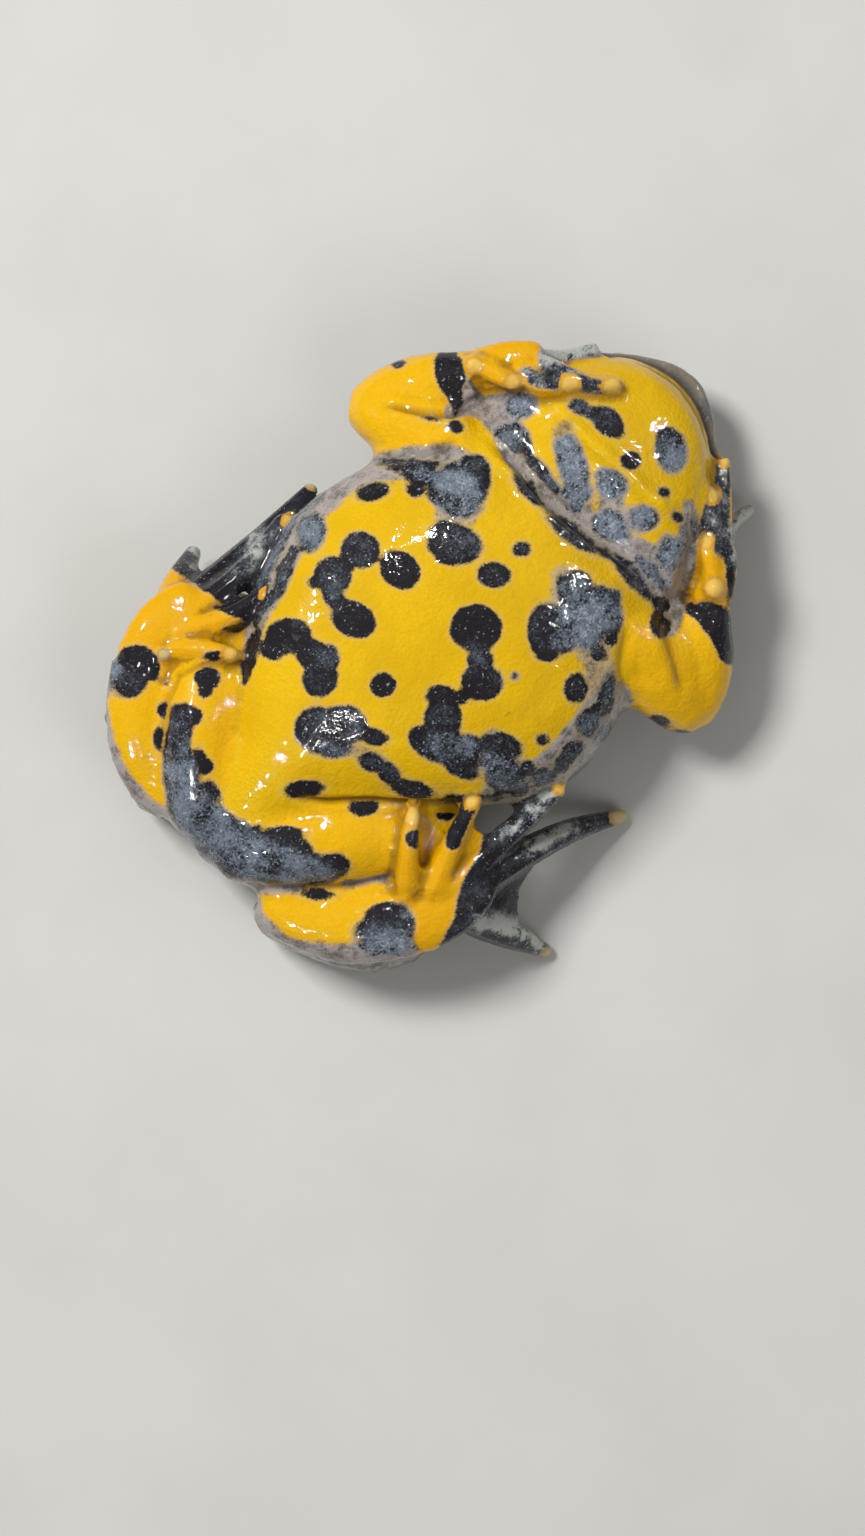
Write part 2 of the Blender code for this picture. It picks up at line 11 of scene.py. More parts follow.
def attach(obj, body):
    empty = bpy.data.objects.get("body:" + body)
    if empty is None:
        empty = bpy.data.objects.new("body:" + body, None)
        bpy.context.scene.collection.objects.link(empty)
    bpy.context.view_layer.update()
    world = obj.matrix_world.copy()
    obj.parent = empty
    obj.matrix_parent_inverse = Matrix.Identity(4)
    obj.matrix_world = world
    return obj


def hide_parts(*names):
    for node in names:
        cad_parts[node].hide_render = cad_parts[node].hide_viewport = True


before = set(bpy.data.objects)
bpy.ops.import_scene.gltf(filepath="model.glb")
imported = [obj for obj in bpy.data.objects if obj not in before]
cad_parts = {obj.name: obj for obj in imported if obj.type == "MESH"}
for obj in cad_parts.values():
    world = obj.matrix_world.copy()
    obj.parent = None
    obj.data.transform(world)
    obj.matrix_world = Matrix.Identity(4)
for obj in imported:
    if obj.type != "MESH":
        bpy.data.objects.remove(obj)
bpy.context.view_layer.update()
mm = 0.001

# How the photo looks down on the toad: its pixels, and where the camera hangs over them
photo = {
    "width": 865, "height": 1536,
    "pixelsPerMm": 15.0,  # at half the height of the body
    "backPixel": (430, 640),  # pixel over the flat of the back, which is the frame's origin
    "turn": math.radians(42),  # the body's line, from vent to snout, above the picture's bottom edge
    "distance": 300.0,  # mm from the camera to half the height of the body
    "halfHeight": 6.0,
    "sensor": 36.0,
}
turnCos, turnSin = math.cos(photo["turn"]), math.sin(photo["turn"])


def bodyFromPhoto(across, down):
    # place in mm, at half the body's height, that a pixel of the photo shows
    right = (across - photo["backPixel"][0]) / photo["pixelsPerMm"]
    below = (down - photo["backPixel"][1]) / photo["pixelsPerMm"]
    return right * turnCos - below * turnSin, -right * turnSin - below * turnCos


photo["middle"] = bodyFromPhoto(photo["width"] / 2, photo["height"] / 2)


def photoFromBody(points):
    # pixels of the photo that show points in mm, as the camera sees them
    nearer = (photo["distance"] + photo["halfHeight"] - points[:, 2]) / photo["distance"]
    x = (points[:, 0] - photo["middle"][0]) / nearer
    y = (points[:, 1] - photo["middle"][1]) / nearer
    across = photo["width"] / 2 + photo["pixelsPerMm"] * (x * turnCos - y * turnSin)
    down = photo["height"] / 2 - photo["pixelsPerMm"] * (x * turnSin + y * turnCos)
    return across, down


# The body's regions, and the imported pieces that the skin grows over
regions = {
    "torso": ["torso"],
    "head": ["head"],
    "jaw": ["lower_jaw"],
    "arms": ["upper_arm_left", "upper_arm_right", "forearm_left", "forearm_right"],
    "hands": ["hand_left", "hand_right"],
    "thighs": ["thigh_left", "thigh_right"],
    "lowerLegs": ["shank_left", "shank_right", "tarsus_left", "tarsus_right"],
    "feet": ["foot_left", "foot_right"],
}

skinShape = {
    # mm that the pieces grow before they melt together, and shrink after
    "swell": {
        "torso": 0.36, "head": 0.34, "jaw": 0.5, "arms": 0.5, "hands": 0.28,
        "thighs": 0.34, "lowerLegs": 0.36, "feet": 0.22,
    },
    "voxel": 0.16,
    "fineSmoothing": 5,  # passes over the whole skin
    "bodySmoothing": 110,  # more passes over the trunk, head and thick limbs
    "melt": 0.15,  # mm over which one region's values turn into the next one's
    "eyeGuard": (2.7, 4.2),  # mm round an eye that the body's smoothing spares
    "floorRest": 0.01,  # mm that the lowest skin stays above the floor
    "triangles": 190000,
}

# Where the gold of the underside gives way to the back: upward lean of the skin, by region
backEdge = {
    "torso": 0.02, "head": 1.4, "jaw": -0.5, "arms": -0.22, "hands": -0.35,
    "thighs": -0.02, "lowerLegs": 0.06, "feet": -0.35,
}

# Folds in the skin, through pixels of the photo: points, depth and width in mm, lip beside the fold
folds = {
    "groinLeft": ([
        (283, 798), (327, 801), (366, 800), (400, 802), (440, 803), (476, 801),
    ], 0.34, 0.2, 0.09),
    "groinRight": ([(246, 655), (241, 685), (238, 714), (236, 740)], 0.06, 0.32, 0.05),
    "kneeRight": ([
        (163, 770), (163, 735), (167, 702), (179, 676), (202, 665), (236, 662),
    ], 0.16, 0.2, 0.06),
    "thighEdge": ([
        (250, 878), (264, 887), (300, 889), (353, 885), (387, 877), (399, 857),
    ], 0.2, 0.22, 0.06),
    "elbowRight": ([
        (377, 405), (400, 408), (425, 413), (452, 415), (470, 408), (490, 396),
    ], 0.3, 0.22, 0.1),
    "elbowLeft": ([(662, 618), (668, 636), (674, 655), (679, 674), (685, 698)], 0.24, 0.36, 0.08),
    "gularFold": ([
        (478, 429), (500, 450), (519, 470), (545, 503), (566, 520),
        (590, 540), (612, 555), (634, 572), (657, 600),
    ], 0.26, 0.3, 0.28),
    "gularFoldB": ([(530, 462), (548, 487), (572, 512), (600, 536)], 0.14, 0.22, 0.1),
    "armpitRight": ([(372, 462), (400, 458), (432, 452), (462, 440)], 0.16, 0.3, 0.1),
    "armpitLeft": ([(628, 622), (622, 650), (620, 675), (628, 702)], 0.14, 0.3, 0.08),
    "cheekFold": ([(662, 612), (676, 590), (686, 560), (694, 530)], 0.16, 0.3, 0.1),
    "cheekFoldB": ([(655, 570), (665, 585), (670, 600)], 0.12, 0.2, 0.08),
    "wristFold": ([(455, 412), (470, 400), (486, 394), (500, 392)], 0.2, 0.22, 0.1),
}
# Ridges stand up: points, height and half width in mm
ridges = {
    "throatRidge": ([(550, 400), (567, 418), (590, 441), (618, 465), (646, 493), (686, 526)], 0.4, 0.55),
    "throatRidgeB": ([(530, 440), (560, 480), (590, 510), (620, 532)], 0.14, 0.5),
    "chestRidge": ([(500, 470), (530, 510), (560, 545), (600, 580), (640, 608)], 0.22, 0.9),
}

# The mouth: how far forward and how high its line runs, and where its dark lip spreads, in mm
mouthLine = {
    "front": (26.5, 5.3), "back": (15.5, 6.3), "corner": (8.0, 6.5), "depth": 0.26, "width": 0.18,
    "begins": (12.6, 14.0), "lipBegins": (12.0, 14.5), "lipOnHead": (-2.6, -0.7), "lipOnJaw": (0.4, 0.1),
}
nostrils = {"places": [(24.2, 2.15, 3.15), (24.2, -0.15, 3.15)], "radius": 0.36, "depth": 0.3}

# Warts of the back, in mm
warts = {
    "count": 1500, "seed": 11, "radius": (0.26, 0.66), "height": (0.10, 0.24),
    "spacing": 0.6, "spread": (0.8, 1.7),
    "from": 0.6,  # share of back in the skin from which they grow
    "offHead": 0.45, "offLip": 0.8,  # shares that they lose on the head and the lip
    "tip": 0.3,  # radius of the horny tip, as a share of the wart's
    "grain": 0.026, "grainSizes": (0.5, 0.27), "lump": 0.05, "lumpSize": 1.6,  # the skin's own relief
}

# Black marks: middle across and down, half length, half width, turn, share of blue-grey haze
marks = {
    "torso": {
        "chainTop": (360, 550, 20, 19, 0, 0.25), "chainMiddle": (333, 575, 19, 19, 40, 0.3),
        "chainPoint": (316, 582, 9, 7, 0, 0.1), "chainNeck": (334, 597, 10, 14, -30, 0.4),
        "chainBottom": (353, 619, 23, 18, 25, 0.1), "besideChain": (400, 570, 22, 18, 35, 0.05),
        "chestSmall": (455, 544, 28, 20, 12, 0.4), "chestTop": (444, 529, 14, 9, -10, 0.2),
        "chestLow": (447, 556, 14, 9, 20, 0.15), "chestTail": (494, 575, 17, 13, 5, 0.2),
        "armpit": (458, 488, 31, 25, 0, 0.85), "armpitTop": (475, 467, 15, 13, 10, 0.35),
        "armpitTail": (420, 473, 22, 12, 15, 0.9), "armpitTip": (396, 463, 22, 5, 5, 0.6),
        "armpitRimA": (398, 468, 9, 4, 0, 0.1), "armpitRimB": (434, 464, 9, 4, 0, 0.15),
        "armpitRimC": (484, 478, 6, 12, 0, 0.2), "armpitDot": (416, 490, 10, 7, 10, 0.2),
        "armpitFoot": (462, 508, 18, 9, 0, 0.75), "shoulderDot": (373, 492, 17, 9, -14, 0.15),
        "flankDot": (311, 532, 15, 20, 8, 0.6), "chestDot": (522, 549, 9, 8, 0, 0.3),
        "breastTop": (574, 588, 18, 17, 10, 0.7), "breastRight": (602, 612, 20, 27, -20, 0.85),
        "breastLeft": (546, 631, 19, 28, 0, 0.25), "breastMiddle": (574, 618, 24, 17, 0, 0.95),
        "breastFoot": (562, 640, 17, 13, 0, 0.7), "breastRimA": (572, 575, 12, 5, 0, 0.15),
        "breastRimB": (614, 596, 7, 7, 0, 0.35), "breastRimC": (548, 655, 13, 7, 0, 0.05),
        "breastDotA": (610, 637, 7, 9, 0, 0.1), "breastDotB": (598, 653, 9, 8, 0, 0.3),
        "breastLow": (590, 632, 14, 20, 0, 0.9), "middleTop": (476, 628, 26, 24, 0, 0.12),
        "middleWaist": (480, 660, 13, 18, 0, 0.3), "middleFoot": (482, 682, 21, 19, 20, 0.12),
        "middleStep": (462, 697, 9, 7, 0, 0.1), "lowTop": (441, 696, 15, 11, 0, 0.1),
        "lowMiddle": (443, 718, 19, 20, 10, 0.25), "lowBody": (440, 744, 27, 19, 15, 0.5),
        "lowFoot": (460, 764, 22, 13, 30, 0.25), "lowLeft": (421, 738, 13, 13, 0, 0.1),
        "lowRight": (468, 748, 14, 14, 45, 0.6), "flankTop": (500, 747, 22, 15, 12, 0.2),
        "flankMiddle": (492, 762, 14, 8, 0, 0.85), "flankFoot": (504, 776, 19, 18, 0, 0.6),
        "flankRightFoot": (518, 786, 13, 10, 0, 0.5), "navel": (383, 685, 13, 13, 0, 0.05),
        "groinTop": (288, 636, 24, 18, -10, 0.05), "groinMiddle": (312, 654, 18, 15, 40, 0.2),
        "groinRight": (328, 658, 12, 14, 0, 0.35), "groinFoot": (320, 678, 18, 19, 0, 0.2),
        "groinLeft": (270, 650, 13, 9, 30, 0.15), "bigLeft": (318, 729, 23, 23, 0, 0.3),
        "bigRight": (345, 725, 23, 20, 10, 0.4), "bigTail": (374, 737, 14, 9, 12, 0.15),
        "bigFoot": (335, 750, 20, 8, 0, 0.5), "ventTop": (372, 762, 15, 10, 15, 0.2),
        "ventMiddle": (389, 773, 13, 10, 35, 0.3), "ventFoot": (412, 789, 23, 9, 12, 0.2),
        "ventSmall": (304, 789, 20, 9, -5, 0.05), "waistDot": (576, 688, 12, 15, 10, 0.2),
        "waistSide": (607, 695, 8, 24, 8, 0.45), "flankSide": (589, 722, 12, 16, 32, 0.4),
        "flankSideB": (571, 752, 9, 15, 42, 0.5), "flankSideC": (603, 733, 7, 13, 35, 0.6),
        "flankFootB": (528, 770, 9, 9, 0, 0.3), "flankLow": (562, 764, 12, 8, -45, 0.4),
        "flankDotB": (543, 740, 7, 6, 0, 0.3), "flankLowB": (544, 777, 14, 10, -20, 0.45),
        "creaseDark": (455, 799, 20, 5, -4, 0.1), "creaseDarkB": (488, 797, 14, 5, 0, 0.2),
        "armpitLeft": (661, 623, 11, 15, 0, 0.1), "collarRight": (528, 491, 22, 9, 50, 0.3),
        "collarMiddle": (572, 535, 31, 10, 36, 0.4), "collarJoin": (604, 554, 8, 5, 30, 0.3),
        "collarLeft": (633, 579, 29, 9, 43, 0.35), "pinkDot": (515, 676, 3, 3, 0, 0.7),
    },
    "jaw": {
        "cheekRightTop": (521, 405, 16, 13, 0, 0.8), "cheekRight": (513, 440, 19, 16, 35, 0.85),
        "cheekRightRim": (523, 450, 10, 8, 35, 0.15), "chinStripeTop": (566, 446, 12, 11, 0, 0.85),
        "chinStripe": (573, 466, 26, 14, 75, 0.9), "chinStripeFoot": (577, 492, 15, 13, 0, 0.8),
        "chinStripeEnd": (575, 507, 11, 7, 0, 0.6), "chinTopA": (580, 407, 12, 8, 20, 0.45),
        "chinTopC": (592, 414, 9, 7, 30, 0.35), "chinTopB": (608, 422, 19, 13, 45, 0.4),
        "chinTopBRim": (617, 432, 8, 6, 30, 0.05), "chinDot": (631, 461, 11, 10, 0, 0.05),
        "chinGreyA": (612, 485, 15, 14, 20, 0.9), "chinGreyAA": (604, 475, 8, 7, 0, 0.8),
        "chinGreyB": (609, 525, 17, 15, 20, 1.0), "chinGreyBB": (620, 536, 8, 7, 0, 0.9),
        "chinGreyC": (644, 518, 14, 12, 10, 0.85), "snoutSpot": (671, 450, 16, 23, -10, 0.75),
        "snoutSpotRim": (664, 434, 9, 7, 0, 0.2), "snoutDotA": (664, 492, 6, 5, 0, 0.3),
        "snoutDotB": (677, 517, 7, 5, 30, 0.3), "cheekLeft": (669, 553, 11, 17, 0, 0.9),
        "cheekLeftB": (680, 545, 7, 8, 0, 0.9), "cheekLeftC": (694, 527, 5, 14, 0, 0.5),
        "cheekDark": (472, 418, 9, 5, 20, 0.3), "foldDot": (456, 428, 8, 6, 20, 0.05),
        "foldDotB": (430, 418, 6, 4, 10, 0.2), "cornerDark": (661, 604, 9, 8, 40, 0.3),
    },
    "arms": {
        "wristRight": (450, 373, 15, 26, -12, 0.1), "wristRightTail": (455, 398, 7, 13, 0, 0.1),
        "elbowRightDot": (398, 364, 8, 4, -10, 0.05), "elbowLeft": (660, 720, 11, 5, 15, 0.05),
        "elbowLeftB": (686, 733, 15, 3, 15, 0.1), "foldArmRight": (430, 418, 9, 3, 10, 0.3),
        "foldArmRightB": (456, 427, 8, 6, 10, 0.05), "foldArmLeft": (661, 623, 11, 15, 0, 0.1),
    },
    "thighs": {
        "thighRight": (208, 678, 13, 11, 0, 0.05), "thighRightFoot": (205, 690, 7, 8, 20, 0.05),
        "thighLeft": (364, 806, 15, 10, -8, 0.05), "thighLeftB": (445, 813, 9, 8, 0, 0.1),
        "thighLeftC": (408, 803, 10, 4, 0, 0.1), "bandTop": (187, 715, 16, 11, 10, 0.05),
        "bandPaleA": (188, 765, 8, 9, 0, 0.95), "bandPaleB": (206, 795, 9, 12, -30, 0.9),
        "bandPaleC": (222, 812, 10, 7, 20, 1.0), "bandPaleD": (262, 852, 22, 8, 12, 1.0),
        "bandRimA": (176, 735, 7, 12, 0, 0.15), "bandInnerA": (199, 762, 8, 14, 0, 0.05),
        "bandInnerB": (211, 792, 9, 12, -20, 0.05), "bandLobe": (232, 802, 9, 12, 30, 0.1),
        "bandLobeB": (205, 766, 9, 8, 0, 0.05), "bandInnerC": (250, 828, 12, 9, 20, 0.1),
        "bandInnerD": (284, 835, 21, 9, 0, 0.1), "bandInnerE": (300, 848, 12, 8, 0, 0.2),
        "bandEnd": (334, 866, 17, 13, 0, 0.05),
    },
    "lowerLegs": {
        "thighRightSmall": (172, 678, 8, 10, 20, 0.1), "tarsusRight": (138, 664, 20, 20, 10, 0.1),
        "tarsusRightFoot": (130, 680, 17, 18, 0, 0.2), "tarsusRightEdge": (117, 668, 9, 22, 10, 0.7),
        "creaseDotA": (163, 710, 6, 8, 0, 0.1), "creaseDotB": (160, 738, 7, 12, 0, 0.1),
        "tarsusLeft": (386, 916, 22, 14, -8, 0.1), "tarsusLeftMiddle": (378, 930, 24, 12, 0, 0.35),
        "tarsusLeftFoot": (388, 944, 30, 11, 0, 0.95), "tarsusLeftJoin": (402, 928, 12, 14, 0, 0.4),
        "creaseLeftDot": (318, 894, 16, 6, 0, 0.05),
    },
    "feet": {
        "toeOneRight": (214, 656, 11, 5, -8, 0.05), "toeOneLeft": (414, 839, 9, 10, 0, 0.1),
        "webLeftDot": (445, 812, 9, 8, 0, 0.1), "footEdgeLeft": (466, 912, 9, 10, 0, 0.3),
        "footTarsusLeft": (400, 925, 15, 21, 0, 0.4), "footTarsusRight": (137, 668, 23, 24, 0, 0.12),
    },
    "hands": {
        "palmEdgeLeft": (731, 575, 5, 30, 0, 0.1), "wristLeft": (712, 612, 20, 9, 12, 0.1),
    },
}

# Marks on the fold of the throat, which lie over both its pieces
for mark in ("collarRight", "collarMiddle", "collarJoin", "collarLeft"):
    marks["jaw"][mark] = marks["torso"][mark]

# Black marks that run along a line, and a few pale streaks of painted highlight on the feet: (across,
# down, half width) points, and their haze
stripes = {
    "thighs": {
        "rearBand": ([
            (182, 716, 12), (177, 745, 14), (179, 774, 16), (188, 802, 21), (203, 826, 25),
            (232, 848, 27), (266, 858, 25), (300, 868, 20), (326, 871, 14),
        ], 0.6),
    },
    "torso": {
        "rearBandMiddle": ([(196, 816, 24), (218, 838, 27), (245, 854, 28), (270, 862, 24)], 0.6),
        "flankLine": ([(293, 551, 5), (284, 572, 8), (279, 590, 6), (264, 608, 5), (256, 624, 4)], 0.4),
        "flankShade": ([(318, 494, 8), (296, 512, 7), (282, 535, 7), (268, 565, 7), (258, 590, 5)], 0.55),
        "groinLine": ([(259, 630, 4), (253, 645, 7), (248, 662, 8), (245, 682, 3)], 0.1),
    },
    "feet": {
        "rightWeb": ([
            (190, 520, 52), (226, 560, 38), (256, 590, 32),
            (268, 610, 26), (300, 520, 50), (320, 480, 26),
        ], 0.14),
        # the two gleam stripes are pale streaks of painted highlight on the dark web
        "rightGleamA": ([(240, 584, 8), (262, 548, 3), (286, 514, 1)], 0.6),
        "rightGleamB": ([(226, 580, 7), (244, 556, 3), (262, 536, 1)], 0.5),
        "rightTongueA": ([(202, 585, 2), (225, 592, 6), (250, 594, 8)], 0.1),
        "rightTongueB": ([(215, 607, 2), (236, 611, 6), (256, 610, 8)], 0.1),
        "rightTongueC": ([(224, 629, 2), (242, 629, 6), (260, 626, 7)], 0.1),
        "rightLastToe": ([(188, 540, 14), (200, 562, 11)], 0.85),
        "leftWeb": ([
            (532, 830, 48), (532, 860, 52), (534, 885, 63), (540, 915, 84), (540, 945, 100),
        ], 0.2),
        "leftFourthToeDark": ([(560, 842, 24), (596, 824, 20), (616, 815, 15)], 0.25),
        # the pale streak along the fourth toe is partly its own pale grey and partly a painted highlight
        "leftFourthToe": ([(534, 846, 10), (562, 834, 10), (590, 824, 5)], 0.95),
        "leftThirdToe": ([(510, 836, 4), (526, 820, 4), (544, 802, 3)], 0.8),
        "leftLastToe": ([(484, 922, 14), (510, 926, 14), (530, 938, 12), (548, 952, 11)], 1.0),
        "leftSecondToe": ([(453, 842, 8), (458, 826, 9), (468, 808, 8)], 0.15),
    },
    "hands": {
        "rightSecond": ([(526, 374, 7), (540, 380, 8), (556, 384, 6)], 0.45),
        "rightThird": ([(548, 366, 8), (566, 374, 8), (588, 386, 8), (602, 387, 7)], 0.4),
        "rightLastFinger": ([(548, 356, 9), (570, 350, 9), (600, 345, 11)], 0.9),
        "leftSecond": ([(706, 532, 8), (710, 510, 8)], 0.5),
        "leftThird": ([(722, 548, 8), (722, 500, 8), (724, 468, 8)], 0.35),
        "leftFourth": ([(734, 560, 8), (738, 530, 10), (756, 508, 12)], 0.8),
    },
    "jaw": {
        "neckStreak": ([(464, 428, 5), (480, 437, 8), (498, 450, 9), (512, 462, 6)], 0.5),
        "foldStreak": ([(530, 461, 7), (543, 475, 7), (554, 489, 5)], 0.6),
        "cornerStreak": ([(640, 560, 5), (652, 572, 7), (662, 586, 5)], 0.75),
    },
    "arms": {
        "wristLeftBand": ([(692, 609, 8), (708, 611, 15), (724, 624, 20), (732, 652, 13)], 0.1),
    },
}

# Pale, pinkish grey washes along a line: (across, down, half width) points, and strength
washes = {
    "throatSide": ([
        (452, 412, 7), (485, 402, 14), (505, 425, 16), (520, 460, 12), (548, 494, 13),
        (585, 524, 15), (622, 548, 17), (655, 570, 24), (672, 602, 15), (670, 628, 8),
    ], 1.0),
    "chinGreys": ([(610, 486, 12), (615, 522, 18), (640, 520, 15)], 0.7),
    "chinStripeRim": ([(565, 435, 15), (580, 500, 17)], 0.45),
    "lipSide": ([(688, 505, 5), (690, 540, 12), (688, 575, 14)], 1.0),
    "wristPale": ([(466, 378, 5), (470, 392, 10), (500, 392, 12)], 1.0),
    "armpitRight": ([
        (330, 486, 16), (372, 470, 14), (410, 462, 16), (450, 462, 18), (478, 470, 12),
    ], 0.85),
    "armpitRightB": ([(445, 515, 12), (468, 516, 11)], 0.6),
    "flankRight": ([
        (330, 492, 16), (298, 515, 20), (282, 550, 20), (264, 590, 18), (254, 628, 8), (248, 660, 6),
    ], 0.95),
    "breast": ([(560, 575, 12), (570, 600, 22), (590, 640, 22), (600, 665, 16), (600, 700, 22)], 0.55),
    "flankLeft": ([(612, 700, 20), (590, 735, 24), (565, 765, 24), (530, 785, 20), (495, 792, 12)], 1.0),
    "flankLeftB": ([(492, 735, 8), (490, 760, 14), (520, 770, 14)], 0.6),
    "ventRim": ([(355, 748, 8), (385, 762, 8)], 0.45),
    "tarsusRightEdge": ([
        (100, 655, 8), (96, 700, 10), (101, 745, 14), (116, 785, 16), (145, 812, 15), (175, 828, 12),
    ], 1.0),
    "tarsusLeftEdge": ([
        (246, 880, 9), (252, 920, 13), (280, 952, 15), (330, 965, 20),
        (390, 966, 24), (440, 955, 18), (462, 938, 10),
    ], 1.0),
    "rearMargin": ([(172, 815, 5), (192, 850, 7), (235, 880, 8), (270, 890, 5), (300, 889, 4)], 0.9),
    "thighEdgePale": ([(345, 884, 4), (385, 878, 5)], 0.9),
    "rightTarsusSpot": ([(108, 640, 8), (102, 690, 9)], 0.9),
}

# Amber fingertips, toe tips and cushions: middle across and down, radius
cushions = {
    "amber": {
        "hands": [
            (515, 383, 12), (570, 384, 11), (613, 387, 12), (474, 366, 10),
            (715, 588, 12), (706, 541, 9), (711, 494, 11), (724, 460, 8),
        ],
        "feet": [
            (562, 785, 11), (413, 816, 12), (472, 801, 9), (290, 521, 9), (233, 656, 12), (269, 594, 10),
        ],
    },
    "tan": {"feet": [(621, 815, 12), (550, 957, 10), (314, 482, 9), (164, 655, 7)]},
}

# Colours of the skin, 0 to 255
skinLook = {
    "gold": (236, 188, 3), "deepGold": (222, 175, 1), "limbGold": (242, 182, 0), "sole": (236, 166, 0),
    "goldDust": (238, 200, 96), "black": (30, 26, 31), "hazeDeep": (66, 70, 78),
    "haze": (112, 122, 134), "hazeLight": (168, 177, 188), "pale": (164, 158, 160),
    "paleDeep": (93, 92, 94), "fleshEdge": (196, 176, 128), "amber": (236, 192, 92),
    # the rim tones of the tips are painted shade round their rounded edges
    "amberRim": (216, 160, 54), "tan": (206, 182, 128), "tanRim": (178, 150, 100),
    # the gold-brown crease tone is painted shade for folds and hollows in gold skin; backDark is that
    # painted shade elsewhere and also the back's own dark blotches
    "goldCreaseShade": (116, 74, 10), "back": (112, 101, 86), "backDark": (50, 46, 40),
    "backOlive": (98, 92, 70), "margin": (136, 126, 113), "toeGrey": (184, 187, 178),
}


def linear(colour):
    # linear red, green, blue and alpha of a colour in 0 to 255
    values = [c / 255 for c in colour]
    return [v / 12.92 if v <= 0.04045 else ((v + 0.055) / 1.055) ** 2.4 for v in values] + [1.0]


def linked(name, data):
    # a new object in the scene
    thing = bpy.data.objects.new(name, data)
    bpy.context.scene.collection.objects.link(thing)
    return thing


def meshOf(shape, name):
    mesh = bpy.data.meshes.new(name)
    shape.to_mesh(mesh)
    shape.free()
    return mesh


def nearestOf(away, *names):
    return np.min([away[name] for name in names], axis=0)


# The skin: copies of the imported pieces, swollen until they melt together
def swollenFlesh():
    flesh = bmesh.new()
    for region, names in regions.items():
        swell = skinShape["swell"][region]
        for name in names:
            piece = bmesh.new()
            piece.from_mesh(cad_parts[name].data)
            bmesh.ops.remove_doubles(piece, verts=piece.verts, dist=1e-6)
            bmesh.ops.scale(piece, verts=piece.verts, vec=Vector((1, 1, 1)) / mm)
            piece.normal_update()
            for v, shift in [(v, v.normal * swell) for v in piece.verts]:
                v.co += shift
            copy = meshOf(piece, "copy")
            flesh.from_mesh(copy)
            bpy.data.meshes.remove(copy)
    return meshOf(flesh, "toadSkin")


def withModifier(mesh, kind, **settings):
    # the mesh as one modifier leaves it
    holder = linked("holder", mesh)
    modifier = holder.modifiers.new("change", kind)
    for name, value in settings.items():
        setattr(modifier, name, value)
    bpy.context.view_layer.update()
    changed = holder.evaluated_get(bpy.context.evaluated_depsgraph_get())
    done = bpy.data.meshes.new_from_object(changed)
    bpy.data.objects.remove(holder)
    return done


def outerShell(mesh):
    # the mesh without the closed pockets inside it
    shell = bmesh.new()
    shell.from_mesh(mesh)
    left, islands = set(shell.verts), []
    while left:
        island, edge = set(), [left.pop()]
        while edge:
            v = edge.pop()
            island.add(v)
            for e in v.link_edges:
                other = e.other_vert(v)
                if other in left:
                    left.remove(other)
                    edge.append(other)
        islands.append(island)
    islands.sort(key=len)
    for island in islands[:-1]:
        bmesh.ops.delete(shell, geom=list(island), context="VERTS")
    shell.to_mesh(mesh)
    shell.free()
    return mesh


def pointsOf(mesh):
    flat = np.empty(len(mesh.vertices) * 3)
    mesh.vertices.foreach_get("co", flat)
    return flat.reshape(-1, 3)


def normalsOf(mesh, points):
    mesh.vertices.foreach_set("co", points.ravel())
    mesh.update()
    flat = np.empty(len(points) * 3)
    mesh.vertex_normals.foreach_get("vector", flat)
    return flat.reshape(-1, 3)


class Smoother:
    # pulls values at the corners of a mesh towards their neighbours' mean
    def __init__(self, mesh):
        flat = np.empty(len(mesh.edges) * 2, dtype=np.int32)
        mesh.edges.foreach_get("vertices", flat)
        self.a, self.b = flat[0::2], flat[1::2]
        self.size = len(mesh.vertices)
        self.shares = np.bincount(flat, minlength=self.size)

    def mean(self, values):
        sums = np.bincount(self.a, values[self.b], self.size)
        sums += np.bincount(self.b, values[self.a], self.size)
        return sums / self.shares

    def run(self, values, passes, weight=0.5):
        columns = list(values.T) if values.ndim > 1 else [values]
        for _ in range(passes):
            columns = [column + weight * (self.mean(column) - column) for column in columns]
        return np.array(columns).T if values.ndim > 1 else columns[0]


def ramp(low, high, values):
    # 0 at low and 1 at high, with a soft start and end
    t = np.clip((values - low) / (high - low), 0, 1)
    return t * t * (3 - 2 * t)


def blended(values, away):
    # a value of each region, melting into the next region's
    weights = {region: np.exp(-away[region] / skinShape["melt"]) for region in regions}
    return sum(weights[region] * values[region] for region in regions) / sum(weights.values())


def distancesTo(points, farthest=3.0):
    # how far each point of the skin lies from every region, in mm
    found = {}
    for region, names in regions.items():
        flesh = bmesh.new()
        for name in names:
            flesh.from_mesh(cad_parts[name].data)
        bmesh.ops.scale(flesh, verts=flesh.verts, vec=Vector((1, 1, 1)) / mm)
        tree = BVHTree.FromBMesh(flesh)
        corners = np.array([v.co for v in flesh.verts])
        flesh.free()
        low, high = corners.min(0) - farthest, corners.max(0) + farthest
        near = np.all((points > low) & (points < high), axis=1)
        away = np.full(len(points), farthest)
        for i in np.nonzero(near)[0]:
            hit = tree.find_nearest(Vector(points[i]), farthest)
            if hit[0] is not None:
                away[i] = hit[3]
        found[region] = away
    return found


far = 1e9


def alongLine(across, down, line):
    # distance in mm, in the photo's plane, to a bent line of pixels, and how far along it, 0 to 1
    lengths = [math.dist(p, q) for p, q in zip(line, line[1:])]
    nearest, place, start = np.full(len(across), far), np.zeros(len(across)), 0.0
    for (x0, y0), (x1, y1), length in zip(line, line[1:], lengths):
        dx, dy = x1 - x0, y1 - y0
        t = np.clip(((across - x0) * dx + (down - y0) * dy) / (length * length), 0, 1)
        distance = np.hypot(across - x0 - t * dx, down - y0 - t * dy)
        place = np.where(distance < nearest, start + t * length, place)
        nearest = np.minimum(nearest, distance)
        start += length
    return nearest / photo["pixelsPerMm"], place / start


